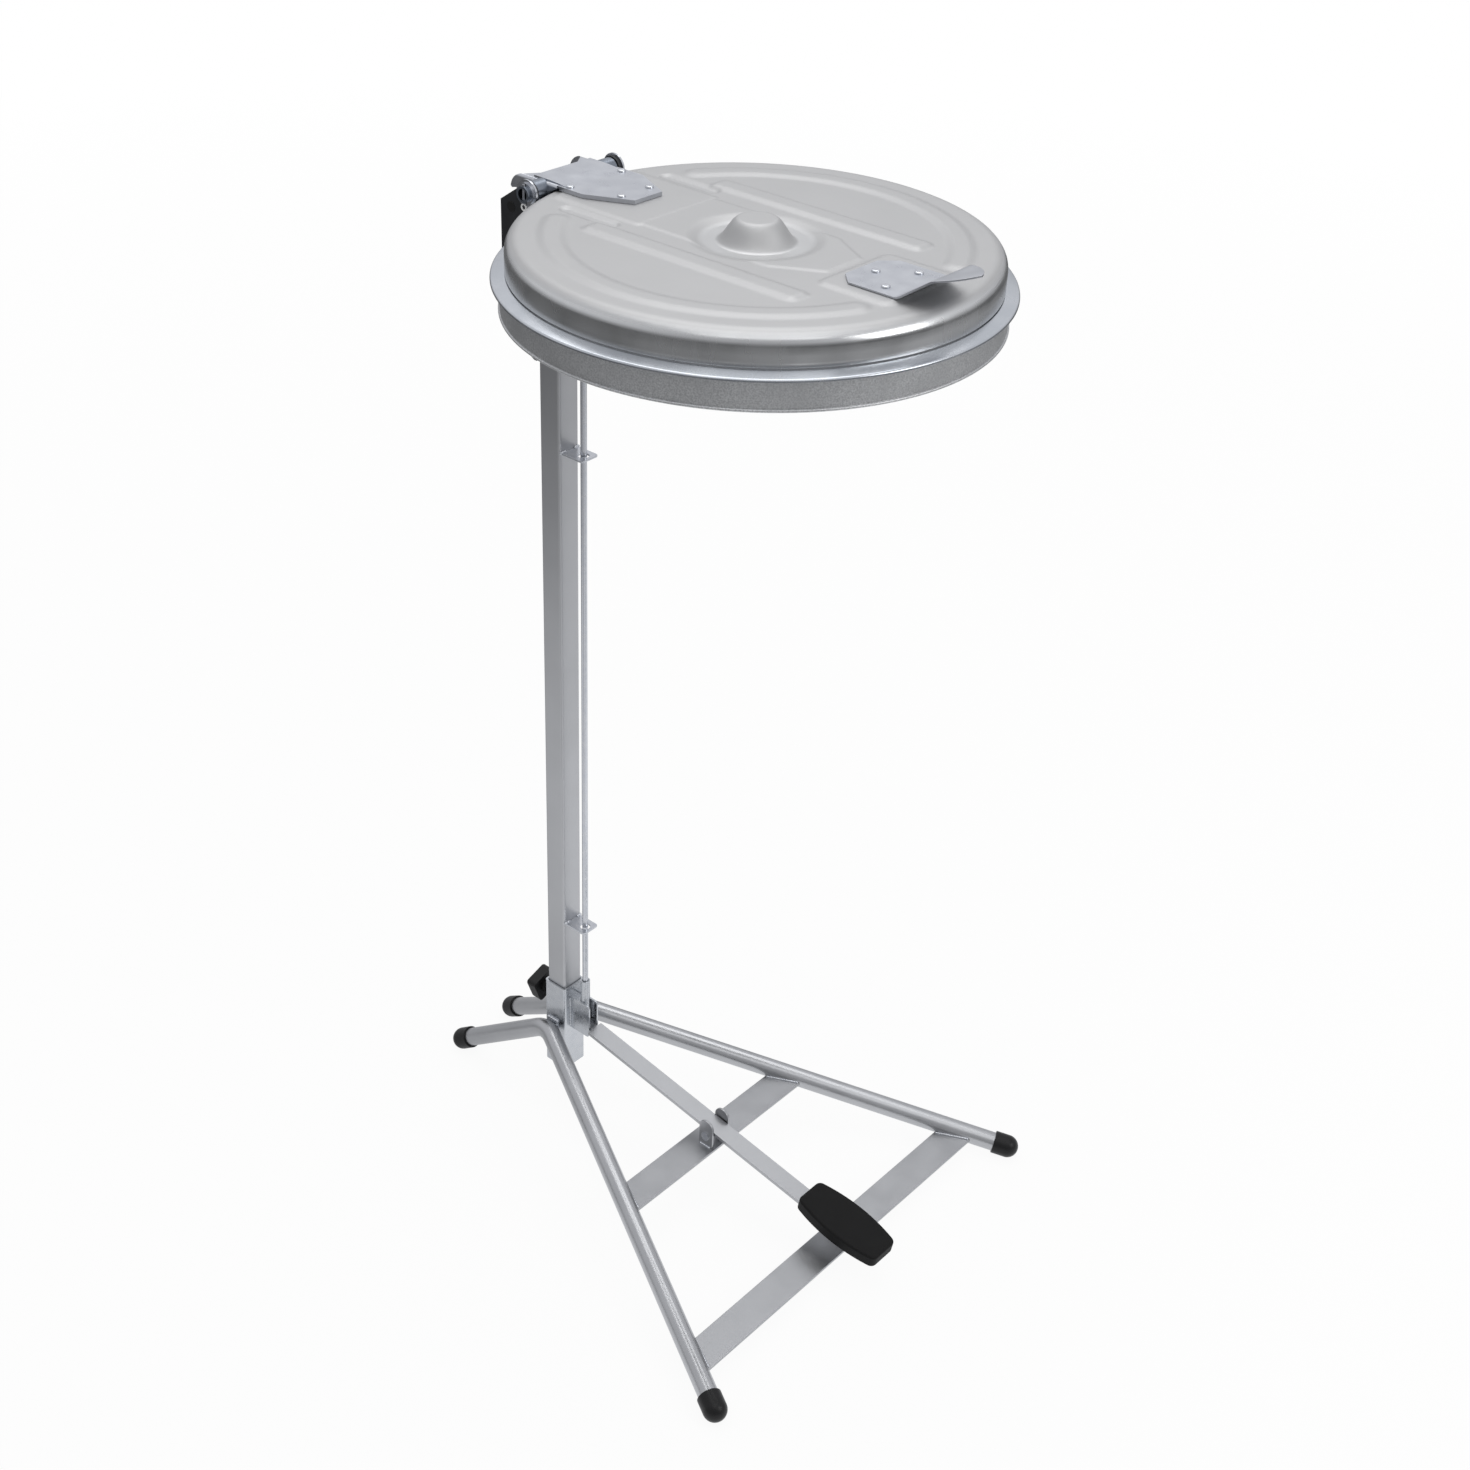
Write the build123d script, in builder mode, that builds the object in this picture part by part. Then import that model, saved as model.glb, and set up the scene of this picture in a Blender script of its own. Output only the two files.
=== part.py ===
from build123d import *
import os
from math import atan2, cos, degrees, radians, sin, sqrt, tan

# Bin bag holder: a lidded ring for a bag on a square post, opened by a foot pedal.
# Millimetres, +Z up, floor at z 0, pedal side towards -Y, post axis on the Z axis.

# Post and the sleeve that it stands in
post_side = 25.0
post_wall = 1.5
post_corner = 2.5
post_bottom = 60.0
post_top = 985.0
post_cap_height = 3.0
sleeve_wall = 2.0
sleeve_clearance = 0.5
sleeve_bottom = 35.0
sleeve_over_bracket = 9.0
sleeve_corner = 3.0

# Bent tube legs and their foot caps
leg_diameter = 20.0
leg_wall = 1.5
leg_bend_radius = 35.0
leg_bend_gap = 1.0
leg_bend_y = 2.6
leg_bend_z = 91.6
rear_foot_x = 38.1
rear_foot_y = 122.8
front_foot_x = 237.5
front_foot_y = -428.1
cap_wall = 2.0
cap_grip = 15.0
cap_rim = 0.8
weld_width = 12.0
weld_height = 8.0
weld_drop = 3.0

# Flat cross bars between the legs
bar_width = 35.0
bar_thickness = 3.0
rear_bar_y = -211.0
front_bar_inset = 48.1
bar_drop = 1.0

# Foot pedal lever, its pad and its pivot
lever_width = 20.0
lever_thickness = 4.0
lever_slope = 9.6
lever_rear_gap = 5.0
lever_corner = 6.0
lever_side_gap = 1.0
pivot_before_bar = 6.0
pivot_pin_diameter = 6.0
pivot_height_over_bar = 12.5
hub_wall = 1.5
running_clearance = 0.05
ear_thickness = 2.5
ear_width = 18.0
ear_over_pivot = 20.0
pin_head_rim = 2.0
pin_head_height = 1.5
pad_distance = 175.0
pad_length = 100.0
pad_width = 48.0
pad_end_width = 34.0
pad_thickness = 12.5
pad_corner = 7.0
pad_edge = 2.5
pad_front_overhang = 12.0
pad_screw_diameter = 5.0
pad_screw_spacing = 50.0
pad_screw_head_rim = 2.0
pad_screw_head_height = 2.5

# Push rod and what leads it up the post
rod_diameter = 6.0
rod_inset = 12.3
rod_play = 0.4
rod_head_rim = 3.0
rod_head_height = 2.5
rod_hole_gap = 1.25
lug_thickness = 3.0
lug_width = 24.0
lug_hole_gap = 2.25
lower_lug_over_guide = 69.0
upper_lug_drop = 219.0
bracket_sheet = 2.0
bracket_drop = 1.6
bracket_height = 45.0
bracket_front = 16.5
bracket_round = 5.0
bracket_plate_inset = 10.0
guide_tube_gap = 0.5
guide_tube_wall = 1.5
guide_tube_below = 11.0
guide_tube_above = 24.0

# Clamp screw behind the sleeve
clamp_drop = 24.0
clamp_screw_diameter = 8.0
clamp_nut_width = 13.0
clamp_nut_height = 6.0
knob_width = 29.0
knob_depth = 13.0
knob_turn = 20.0
knob_corner = 4.0
knob_edge = 2.0
knob_collar_rim = 4.0
knob_collar_length = 5.0
knob_gap = 2.0
screw_tip_gap = 0.3

# Bag ring: band, flange and inner neck
band_radius = 204.9
band_sheet = 1.5
band_depth = 31.6
band_bead = 1.3
ring_gap = 6.2
ring_over_post = 9.6
flange_overhang = 7.25
flange_flat_inset = 3.9
flange_edge_drop = 3.0
flange_sheet = 1.5
flange_lip = 2.2
flange_lip_bend = 2.0
neck_inset = 18.9
neck_height = 29.6
neck_bend = 3.0

# Head bracket that joins the ring to the post and carries the hinge tube
head_sheet = 3.0
head_half_width = 51.5
head_back_drop = 25.5
head_shoulder_drop = 115.5
head_waist_drop = 134.5
head_waist_inset = 7.5
head_bottom_drop = 168.5
head_bottom_half = 15.0
head_rear_corner = 6.0
head_rear_drop = 12.5
head_boss_rim = 3.0
head_front_drop = 63.5
head_hole_diameter = 9.5
head_hole_behind = 20.4
head_hole_drop = 16.5
head_slot_clearance = 0.4
head_bolt_drops = (145.5, 80.5)
head_bolt_diameter = 6.0
head_bolt_clearance = 0.2
bolt_head_width = 10.0
bolt_head_height = 4.0

# Pressed steel lid
lid_inset = 4.4
lid_gap = 1.0
lid_height = 27.4
lid_sheet = 1.2
lid_shoulder = 12.0
emboss_slope = 45.0
side_rib_height = 2.6
side_rib_centre = 78.0
side_rib_width = 20.0
side_rib_length = 218.0
side_rib_corner = 5.0
curved_rib_height = 2.2
curved_rib_inset = 37.5
curved_rib_width = 18.0
curved_rib_rear_angle = 58.5
curved_rib_front_angle = 67.0
slot_depth = 1.8
slot_gap = 1.5
slot_width = 11.0
slot_inset = 43.5
slot_length = 62.0
platform_height = 1.5
platform_half_width = 49.0
platform_inset = 14.5
platform_length = 103.0
field_height = 1.0
field_half_width = 45.0
field_gap = 8.0
field_diagonal = 41.0
field_front_half = 21.0
dish_radius = 52.0
dish_depth = 4.5
boss_top_radius = 26.5
boss_base_radius = 36.0
boss_height = 16.0
boss_edge = 4.0
front_pad_height = 2.0
front_pad_half_width = 45.0
front_pad_inset = 35.5
front_pad_length = 68.0
front_pad_corner = 8.0
lid_notch_gap = 3.5
lid_notch_over_eye = 0.3

# Hinge of the lid
hinge_behind_lid = 5.7
hinge_drop = 2.5
hinge_tube_diameter = 14.0
hinge_tube_wall = 2.0
hinge_tube_overhang = 3.0
washer_rim = 4.75
washer_thickness = 1.8
collar_rim = 2.5
collar_thickness = 1.7
split_pin_diameter = 2.4
split_pin_inset = 1.6
split_pin_neck = 0.8
split_pin_eye_radius = 3.2
split_pin_eye_width = 2.0
split_pin_wire = 1.2
split_pin_tail = 6.0
bush_wall = 2.0
bush_gap = 1.0
bush_length = 19.5
hinge_plate_sheet = 2.0
hinge_backing_sheet = 1.5
hinge_plate_half_width = 36.5
hinge_plate_reach = 88.9
hinge_plate_front_half = 16.5
hinge_plate_shoulder = 48.6
hinge_plate_notch = 10.4
hinge_plate_rear = 22.8
hinge_flange_front = 19.1
hinge_flange_tail = 36.0
hinge_flange_tail_top = -5.0
hinge_flange_tail_corner = 1.5
hinge_flange_waist = 22.0
hinge_flange_waist_drop = 3.5
hinge_flange_rim = 1.5
hinge_bend = 3.0
hinge_rivet_inset = 5.5
hinge_rivet_spread = 0.5
hinge_rivet_rear = 29.0
hinge_rivet_front = 74.2
rivet_diameter = 4.0
rivet_head_rim = 1.75
rivet_head_height = 1.8
rivet_dome_share = 0.8
rivet_foot_rim = 1.0
rivet_foot_height = 1.0

# Lift cheeks and roller under the rear of the lid
roller_arm = 12.6
roller_rest_angle = 37.0
roller_diameter = 5.5
roller_pin_diameter = 2.75
cheek_thickness = 2.0
cheek_gap = 13.0
cheek_eye = 4.0
cheek_root = 16.0
cheek_root_height = 1.0

# Handle on the front of the lid
handle_sheet = 1.6
handle_half_width = 33.0
handle_rear_inset = 95.5
handle_chamfer = 13.0
handle_bend_inset = 36.5
handle_shoulder_inset = 11.5
handle_shoulder_rise = 19.5
handle_neck_inset = 14.5
handle_neck_half = 26.0
handle_lip_over = 2.5
handle_lip_half = 17.5
handle_bend_radius = 10.0
handle_tip_over = 15.5
handle_rise = 26.6
handle_rivet_inset = 12.0
handle_rivet_rear_inset = 81.5
handle_rivet_front_inset = 56.0

# Values that follow: post, legs and pedal
sleeve_side = post_side + 2 * (sleeve_clearance + sleeve_wall)
leg_radius = leg_diameter / 2
cap_radius = leg_radius + cap_wall
leg_bend_x = sleeve_side / 2 + leg_radius - leg_bend_gap
leg_run_y = leg_bend_y - front_foot_y
front_bar_y = front_foot_y + front_bar_inset
pivot_y = rear_bar_y - pivot_before_bar
lever_rear_y = -sleeve_side / 2 - lever_rear_gap
bracket_bottom = leg_bend_z - bracket_drop
bracket_top = bracket_bottom + bracket_height
sleeve_top = bracket_top + sleeve_over_bracket
clamp_z = sleeve_top - clamp_drop
guide_tube_bore = rod_diameter + 2 * guide_tube_gap
guide_tube_diameter = guide_tube_bore + 2 * guide_tube_wall
guide_tube_bottom = bracket_top - guide_tube_below
guide_tube_top = bracket_top + guide_tube_above
lower_lug_z = guide_tube_top + lower_lug_over_guide
upper_lug_z = post_top - upper_lug_drop
hub_diameter = pivot_pin_diameter + 2 * hub_wall
pin_head_diameter = pivot_pin_diameter + 2 * pin_head_rim
pad_screw_head_diameter = pad_screw_diameter + 2 * pad_screw_head_rim
knob_collar_diameter = clamp_screw_diameter + 2 * knob_collar_rim
sides = (("left", -1), ("right", 1))

# Values that follow: ring and lid, seen from the ring's axis
ring_reach = post_side / 2 + ring_gap + band_radius
ring_axis = Axis((0, -ring_reach, 0), (0, 0, 1))
ring_section = Plane.XZ.offset(ring_reach)
rod_y = -ring_reach + band_radius - rod_inset
rod_head_diameter = rod_diameter + 2 * rod_head_rim
rod_hole_diameter = rod_diameter + 2 * rod_hole_gap
lug_hole_diameter = rod_diameter + 2 * lug_hole_gap
bracket_depth = -rod_y - sleeve_side / 2 + bracket_front
flange_top = post_top + ring_over_post
flange_radius = band_radius + flange_overhang
flange_flat_radius = band_radius - flange_flat_inset
neck_radius = band_radius - neck_inset
neck_bottom = flange_top - neck_height
band_bottom = flange_top - band_depth
lid_radius = band_radius - lid_inset
lid_bottom = flange_top + lid_gap
lid_top = lid_bottom + lid_height
emboss_run = tan(radians(emboss_slope))
slot_centre = side_rib_centre - side_rib_width / 2 - slot_gap - slot_width / 2
slot_rear = lid_radius - slot_inset
curved_rib_radius = lid_radius - curved_rib_inset
platform_rear = lid_radius - platform_inset
platform_front = platform_rear - platform_length
front_pad_front = lid_radius - front_pad_inset
front_pad_rear = front_pad_front - front_pad_length
field_front = front_pad_rear - field_gap
field_shoulder = field_front - field_diagonal
handle_rear_y = -ring_reach - lid_radius + handle_rear_inset
handle_bend_y = -ring_reach - lid_radius + handle_bend_inset
handle_shoulder_y = -ring_reach - lid_radius + handle_shoulder_inset
handle_neck_y = -ring_reach - lid_radius + handle_neck_inset
handle_lip_y = -ring_reach - lid_radius - handle_lip_over
handle_tip_y = -ring_reach - lid_radius - handle_tip_over
handle_rivet_x = handle_half_width - handle_rivet_inset
handle_rivet_rear_y = -ring_reach - lid_radius + handle_rivet_rear_inset
handle_rivet_front_y = -ring_reach - lid_radius + handle_rivet_front_inset
handle_rivet_spots = (
    (0, handle_rivet_rear_y),
    (handle_rivet_x, handle_rivet_front_y),
    (-handle_rivet_x, handle_rivet_front_y),
)

# Values that follow: hinge and head bracket, seen from the hinge axis
hinge_y = -ring_reach + lid_radius + hinge_behind_lid
hinge_z = lid_top - hinge_drop
hinge_plane = Plane(origin=(0, hinge_y, hinge_z), x_dir=(0, 1, 0), z_dir=(1, 0, 0))
hinge_tube_radius = hinge_tube_diameter / 2
hinge_tube_half_length = head_half_width + washer_thickness + collar_thickness + hinge_tube_overhang
head_boss_radius = hinge_tube_radius + head_boss_rim
head_back_top = hinge_z - head_back_drop
head_shoulder_z = hinge_z - head_shoulder_drop
head_waist_z = hinge_z - head_waist_drop
head_waist_half = head_half_width - head_waist_inset
head_bottom_z = hinge_z - head_bottom_drop
head_front_z = hinge_z - head_front_drop
head_bolt_spots = [(0, hinge_z - drop) for drop in head_bolt_drops]
bush_diameter = hinge_tube_diameter + 2 * bush_wall
bush_outer_end = head_half_width - head_sheet - bush_gap
bush_inner_end = bush_outer_end - bush_length
hinge_flange_lobe = bush_diameter / 2 + hinge_flange_rim
hinge_plate_front_y = hinge_y - hinge_plate_reach
hinge_plate_shoulder_y = hinge_y - hinge_plate_shoulder
hinge_plate_notch_y = hinge_y + hinge_plate_notch
hinge_plate_rear_y = hinge_y + hinge_plate_rear
hinge_flange_front_y = hinge_y - hinge_flange_front
rivet_head_diameter = rivet_diameter + 2 * rivet_head_rim
hinge_rivet_spots = [
    (side * x, hinge_y - distance)
    for x, distance in (
        (hinge_plate_half_width - hinge_rivet_inset, hinge_rivet_rear),
        (hinge_plate_front_half + hinge_rivet_spread, hinge_rivet_front),
    )
    for name, side in sides
]
cut_margin = 1.0


def leg_axis(y):
    """Point of the right leg's axis in its straight front run."""
    share = (leg_bend_y - y) / leg_run_y
    x = leg_bend_x + share * (front_foot_x - leg_bend_x)
    z = leg_bend_z + share * (cap_radius - leg_bend_z)
    return x, z


def leg(side, bore):
    """Leg from its rear foot, past the sleeve, to its front foot."""
    with BuildPart() as body:
        with BuildLine() as path:
            FilletPolyline(
                (side * rear_foot_x, rear_foot_y, cap_radius),
                (side * leg_bend_x, leg_bend_y, leg_bend_z),
                (side * front_foot_x, front_foot_y, cap_radius),
                radius=leg_bend_radius,
            )
        with BuildSketch(Plane(origin=path.line @ 0, z_dir=path.line % 0)):
            Circle(leg_radius)
            if bore > 0:
                Circle(bore, mode=Mode.SUBTRACT)
        sweep()
    return body.part


bar_tops = {y: leg_axis(y)[1] - bar_drop for y in (rear_bar_y, front_bar_y)}
pivot_z = bar_tops[rear_bar_y] + pivot_height_over_bar
slope = radians(lever_slope)
lever_plane = Plane(
    origin=(0, pivot_y, pivot_z), x_dir=(1, 0, 0), z_dir=(0, -sin(slope), cos(slope))
)
lever_under = hub_diameter / 2
lever_over = lever_under + lever_thickness
cheek_inner_x = lever_width / 2 + lever_side_gap
rod_foot_y = rod_y + rod_diameter / 2
rod_bottom = pivot_z + (rod_foot_y - pivot_y) * tan(slope) + lever_over / cos(slope) + rod_play
roller_y = hinge_y - roller_arm * cos(radians(roller_rest_angle))
roller_z = hinge_z - roller_arm * sin(radians(roller_rest_angle))
rod_head_top = roller_z - roller_diameter / 2 - rod_play
post_front_y = -post_side / 2
lid_notch_top = roller_z + cheek_eye + lid_notch_over_eye
pad_screw_spots = [(0, -pad_distance + side * pad_screw_spacing / 2) for name, side in sides]
leg_rods = [leg(side, 0) for name, side in sides]
os.makedirs("parts", exist_ok=True)

# Legs
for name, side in sides:
    with BuildPart() as leg_tube:
        add(leg(side, leg_radius - leg_wall))
    leg_tube.part.label = f"leg_{name}"
    export_step(leg_tube.part, f"parts/leg_{name}.step")

# Foot caps: a socket on the tube with a round end that rests on the floor
for name, side in sides:
    bend = Vector(side * leg_bend_x, leg_bend_y, leg_bend_z)
    feet = {
        f"cap_rear_{name}": Vector(side * rear_foot_x, rear_foot_y, cap_radius),
        f"cap_front_{name}": Vector(side * front_foot_x, front_foot_y, cap_radius),
    }
    for cap_name, foot in feet.items():
        with BuildPart(Plane(origin=foot, z_dir=bend - foot)) as cap:
            Sphere(cap_radius)
            Cylinder(cap_radius, cap_grip, align=(Align.CENTER, Align.CENTER, Align.MIN))
            rim = cap.faces().filter_by(GeomType.PLANE).edges()
            fillet(rim, cap_rim)
            Cylinder(
                leg_radius + running_clearance,
                cap_grip + cap_rim,
                align=(Align.CENTER, Align.CENTER, Align.MIN),
                mode=Mode.SUBTRACT,
            )
        cap.part.label = cap_name
        export_step(cap.part, f"parts/{cap_name}.step")

# Sleeve: square tube with a weld pad on each side that follows the leg
with BuildPart() as sleeve:
    with BuildSketch(Plane.XY.offset(sleeve_bottom)):
        RectangleRounded(sleeve_side, sleeve_side, sleeve_corner)
    extrude(amount=sleeve_top - sleeve_bottom)
    with Locations((0, leg_bend_y, leg_bend_z - weld_drop)):
        Box(2 * leg_bend_x - leg_radius / 2, weld_width, weld_height)
    for rod in leg_rods:
        add(rod, mode=Mode.SUBTRACT)
    with BuildSketch(Plane.XY.offset(sleeve_bottom)):
        RectangleRounded(sleeve_side - 2 * sleeve_wall, sleeve_side - 2 * sleeve_wall, post_corner)
    extrude(amount=sleeve_top - sleeve_bottom, mode=Mode.SUBTRACT)
    with BuildSketch(Plane.XZ.offset(-sleeve_side / 2)):
        with Locations((0, clamp_z)):
            Circle(clamp_screw_diameter / 2 + running_clearance)
    extrude(amount=2 * sleeve_wall, mode=Mode.SUBTRACT)
sleeve.part.label = "sleeve"
export_step(sleeve.part, "parts/sleeve.step")

# Clamp nut, clamp screw and knob behind the sleeve
nut_start = sleeve_side / 2
nut_end = nut_start + clamp_nut_height
knob_start = nut_end + knob_gap
with BuildPart() as clamp_nut:
    with BuildSketch(Plane.XZ.offset(-nut_end)):
        with Locations((0, clamp_z)):
            RegularPolygon(clamp_nut_width / 2, 6, major_radius=False)
            Circle(clamp_screw_diameter / 2 + running_clearance, mode=Mode.SUBTRACT)
    extrude(amount=clamp_nut_height)
clamp_nut.part.label = "clamp_nut"
export_step(clamp_nut.part, "parts/clamp_nut.step")

with BuildPart() as clamp_knob:
    with BuildSketch(Plane.XZ.offset(-knob_start)):
        with Locations((0, clamp_z)):
            Circle(knob_collar_diameter / 2)
    extrude(amount=-knob_collar_length)
    with BuildSketch(Plane.XZ.offset(-(knob_start + knob_collar_length))):
        with Locations((0, clamp_z)):
            RectangleRounded(knob_width, knob_width, knob_corner, rotation=knob_turn)
    extrude(amount=-knob_depth)
    fillet(clamp_knob.faces().sort_by(Axis.Y)[-1].edges(), knob_edge)
    with BuildSketch(Plane.XZ.offset(-knob_start)):
        with Locations((0, clamp_z)):
            Circle(clamp_screw_diameter / 2)
    extrude(amount=-(knob_collar_length + knob_depth / 2), mode=Mode.SUBTRACT)
clamp_knob.part.label = "clamp_knob"
export_step(clamp_knob.part, "parts/clamp_knob.step")

with BuildPart() as clamp_screw:
    screw_tip = post_side / 2 + screw_tip_gap
    with BuildSketch(Plane.XZ.offset(-screw_tip)):
        with Locations((0, clamp_z)):
            Circle(clamp_screw_diameter / 2)
    extrude(amount=-(knob_start + knob_collar_length + knob_depth / 2 - screw_tip))
clamp_screw.part.label = "clamp_screw"
export_step(clamp_screw.part, "parts/clamp_screw.step")

# Sheet bracket on the sleeve round the rear end of the lever, with the guide tube of the rod
with BuildPart() as lever_bracket:
    web_y = -sleeve_side / 2
    outer_x = cheek_inner_x + bracket_sheet
    with BuildSketch(Plane.XY.offset(bracket_bottom)):
        with Locations((0, web_y)):
            Rectangle(2 * outer_x, bracket_depth, align=(Align.CENTER, Align.MAX))
        with Locations((0, web_y - bracket_sheet)):
            Rectangle(2 * cheek_inner_x, bracket_depth, align=(Align.CENTER, Align.MAX), mode=Mode.SUBTRACT)
    extrude(amount=bracket_top - bracket_bottom)
    fillet(lever_bracket.edges().filter_by(Axis.X).group_by(Axis.Y)[0], bracket_round)
    for level in (bracket_bottom, bracket_top - bracket_sheet):
        with BuildSketch(Plane.XY.offset(level)):
            with Locations((0, web_y)):
                Rectangle(2 * outer_x, bracket_depth - bracket_plate_inset, align=(Align.CENTER, Align.MAX))
        extrude(amount=bracket_sheet)
    with BuildSketch(Plane.XY.offset(bracket_top)):
        with Locations((0, rod_y)):
            Circle(guide_tube_diameter / 2)
    extrude(amount=-2 * bracket_sheet, mode=Mode.SUBTRACT)
lever_bracket.part.label = "lever_bracket"
export_step(lever_bracket.part, "parts/lever_bracket.step")

with BuildPart() as rod_guide_tube:
    with BuildSketch(Plane.XY.offset(guide_tube_bottom)):
        with Locations((0, rod_y)):
            Circle(guide_tube_diameter / 2)
            Circle(guide_tube_bore / 2, mode=Mode.SUBTRACT)
    extrude(amount=guide_tube_top - guide_tube_bottom)
rod_guide_tube.part.label = "rod_guide_tube"
export_step(rod_guide_tube.part, "parts/rod_guide_tube.step")

# Cross bars, cut to the round of the legs at both ends
for name, bar_y in (("rear", rear_bar_y), ("front", front_bar_y)):
    with BuildPart() as cross_bar:
        back = bar_y + bar_width / 2
        front = bar_y - bar_width / 2
        with BuildSketch(Plane.XY.offset(bar_tops[bar_y])):
            Polygon(
                (leg_axis(back)[0], back),
                (-leg_axis(back)[0], back),
                (-leg_axis(front)[0], front),
                (leg_axis(front)[0], front),
                align=None,
            )
        extrude(amount=-bar_thickness)
        for rod in leg_rods:
            add(rod, mode=Mode.SUBTRACT)
    cross_bar.part.label = f"cross_bar_{name}"
    export_step(cross_bar.part, f"parts/cross_bar_{name}.step")

# Pivot of the lever: two ears on the rear bar, the pin and the hub tube
ear_plane = Plane(origin=(0, pivot_y, pivot_z), x_dir=(0, 1, 0), z_dir=(1, 0, 0))
for name, side in sides:
    with BuildPart() as ear:
        start = cheek_inner_x if side > 0 else -cheek_inner_x - ear_thickness
        with BuildSketch(ear_plane.offset(start)):
            with Locations((0, ear_over_pivot - ear_width / 2)):
                Circle(ear_width / 2)
            foot = pivot_height_over_bar + ear_over_pivot - ear_width / 2
            with Locations((0, -pivot_height_over_bar + foot / 2)):
                Rectangle(ear_width, foot)
            Circle(pivot_pin_diameter / 2, mode=Mode.SUBTRACT)
        extrude(amount=ear_thickness)
    ear.part.label = f"pivot_ear_{name}"
    export_step(ear.part, f"parts/pivot_ear_{name}.step")

with BuildPart() as pivot_pin:
    ear_outer_x = cheek_inner_x + ear_thickness
    with BuildSketch(ear_plane.offset(-ear_outer_x - pin_head_height)):
        Circle(pivot_pin_diameter / 2)
    extrude(amount=2 * (ear_outer_x + pin_head_height))
    for start in (-ear_outer_x - pin_head_height, ear_outer_x):
        with BuildSketch(ear_plane.offset(start)):
            Circle(pin_head_diameter / 2)
        extrude(amount=pin_head_height)
pivot_pin.part.label = "pivot_pin"
export_step(pivot_pin.part, "parts/pivot_pin.step")

with BuildPart() as pedal_hub:
    with BuildSketch(ear_plane.offset(-lever_width / 2)):
        Circle(hub_diameter / 2)
        Circle(pivot_pin_diameter / 2 + running_clearance, mode=Mode.SUBTRACT)
    extrude(amount=lever_width)
pedal_hub.part.label = "pedal_hub"
export_step(pedal_hub.part, "parts/pedal_hub.step")

# Lever: flat bar from under the pad to under the push rod
with BuildPart() as pedal_lever:
    lever_rear = (lever_rear_y - pivot_y) / cos(slope)
    lever_front = pad_distance + pad_length / 2 - pad_front_overhang
    with BuildSketch(lever_plane.offset(lever_under)):
        with Locations((0, (lever_rear - lever_front) / 2)):
            Rectangle(lever_width, lever_rear + lever_front)
        fillet(vertices(), lever_corner)
        with Locations(*pad_screw_spots):
            Circle(pad_screw_diameter / 2, mode=Mode.SUBTRACT)
    extrude(amount=lever_thickness)
pedal_lever.part.label = "pedal_lever"
export_step(pedal_lever.part, "parts/pedal_lever.step")

# Pedal pad: barrel outline with a rounded top edge, held by two screws from below
with BuildPart() as pedal_pad:
    pad_near = -pad_distance + pad_length / 2
    pad_far = -pad_distance - pad_length / 2
    end_half = pad_end_width / 2
    with BuildSketch(lever_plane.offset(lever_over)):
        with BuildLine():
            Line((-end_half, pad_near), (end_half, pad_near))
            ThreePointArc((end_half, pad_near), (pad_width / 2, -pad_distance), (end_half, pad_far))
            Line((end_half, pad_far), (-end_half, pad_far))
            ThreePointArc((-end_half, pad_far), (-pad_width / 2, -pad_distance), (-end_half, pad_near))
        make_face()
        fillet(vertices(), pad_corner)
    extrude(amount=pad_thickness)
    fillet(pedal_pad.faces().filter_by(lever_plane).sort_by(Axis.Z)[-1].edges(), pad_edge)
    with BuildSketch(lever_plane.offset(lever_over)):
        with Locations(*pad_screw_spots):
            Circle(pad_screw_diameter / 2)
    extrude(amount=pad_thickness / 2, mode=Mode.SUBTRACT)
pedal_pad.part.label = "pedal_pad"
export_step(pedal_pad.part, "parts/pedal_pad.step")

with BuildPart() as pad_screws:
    with BuildSketch(lever_plane.offset(lever_under - pad_screw_head_height)):
        with Locations(*pad_screw_spots):
            Circle(pad_screw_head_diameter / 2)
    extrude(amount=pad_screw_head_height)
    with BuildSketch(lever_plane.offset(lever_under)):
        with Locations(*pad_screw_spots):
            Circle(pad_screw_diameter / 2)
    extrude(amount=lever_thickness + pad_thickness / 2)
pad_screws.part.label = "pad_screws"
export_step(pad_screws.part, "parts/pad_screws.step")

# Push rod with its flat head
with BuildPart() as push_rod:
    with BuildSketch(Plane.XY.offset(rod_bottom)):
        with Locations((0, rod_y)):
            Circle(rod_diameter / 2)
    extrude(amount=rod_head_top - rod_head_height - rod_bottom)
push_rod.part.label = "push_rod"
export_step(push_rod.part, "parts/push_rod.step")

with BuildPart() as rod_head:
    with BuildSketch(Plane.XY.offset(rod_head_top - rod_head_height)):
        with Locations((0, rod_y)):
            Circle(rod_head_diameter / 2)
    extrude(amount=rod_head_height)
rod_head.part.label = "rod_head"
export_step(rod_head.part, "parts/rod_head.step")

# Post: square tube with two cross holes for the bolts of the head bracket
with BuildPart() as post:
    with BuildSketch(Plane.XY.offset(post_bottom)):
        RectangleRounded(post_side, post_side, post_corner)
        bore_side = post_side - 2 * post_wall
        RectangleRounded(bore_side, bore_side, post_corner - post_wall, mode=Mode.SUBTRACT)
    extrude(amount=post_top - post_bottom)
    with BuildSketch(Plane.XZ.offset(-post_side / 2)):
        with Locations(*head_bolt_spots):
            Circle(head_bolt_diameter / 2 + head_bolt_clearance)
    extrude(amount=post_side, mode=Mode.SUBTRACT)
post.part.label = "post"
export_step(post.part, "parts/post.step")

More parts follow.
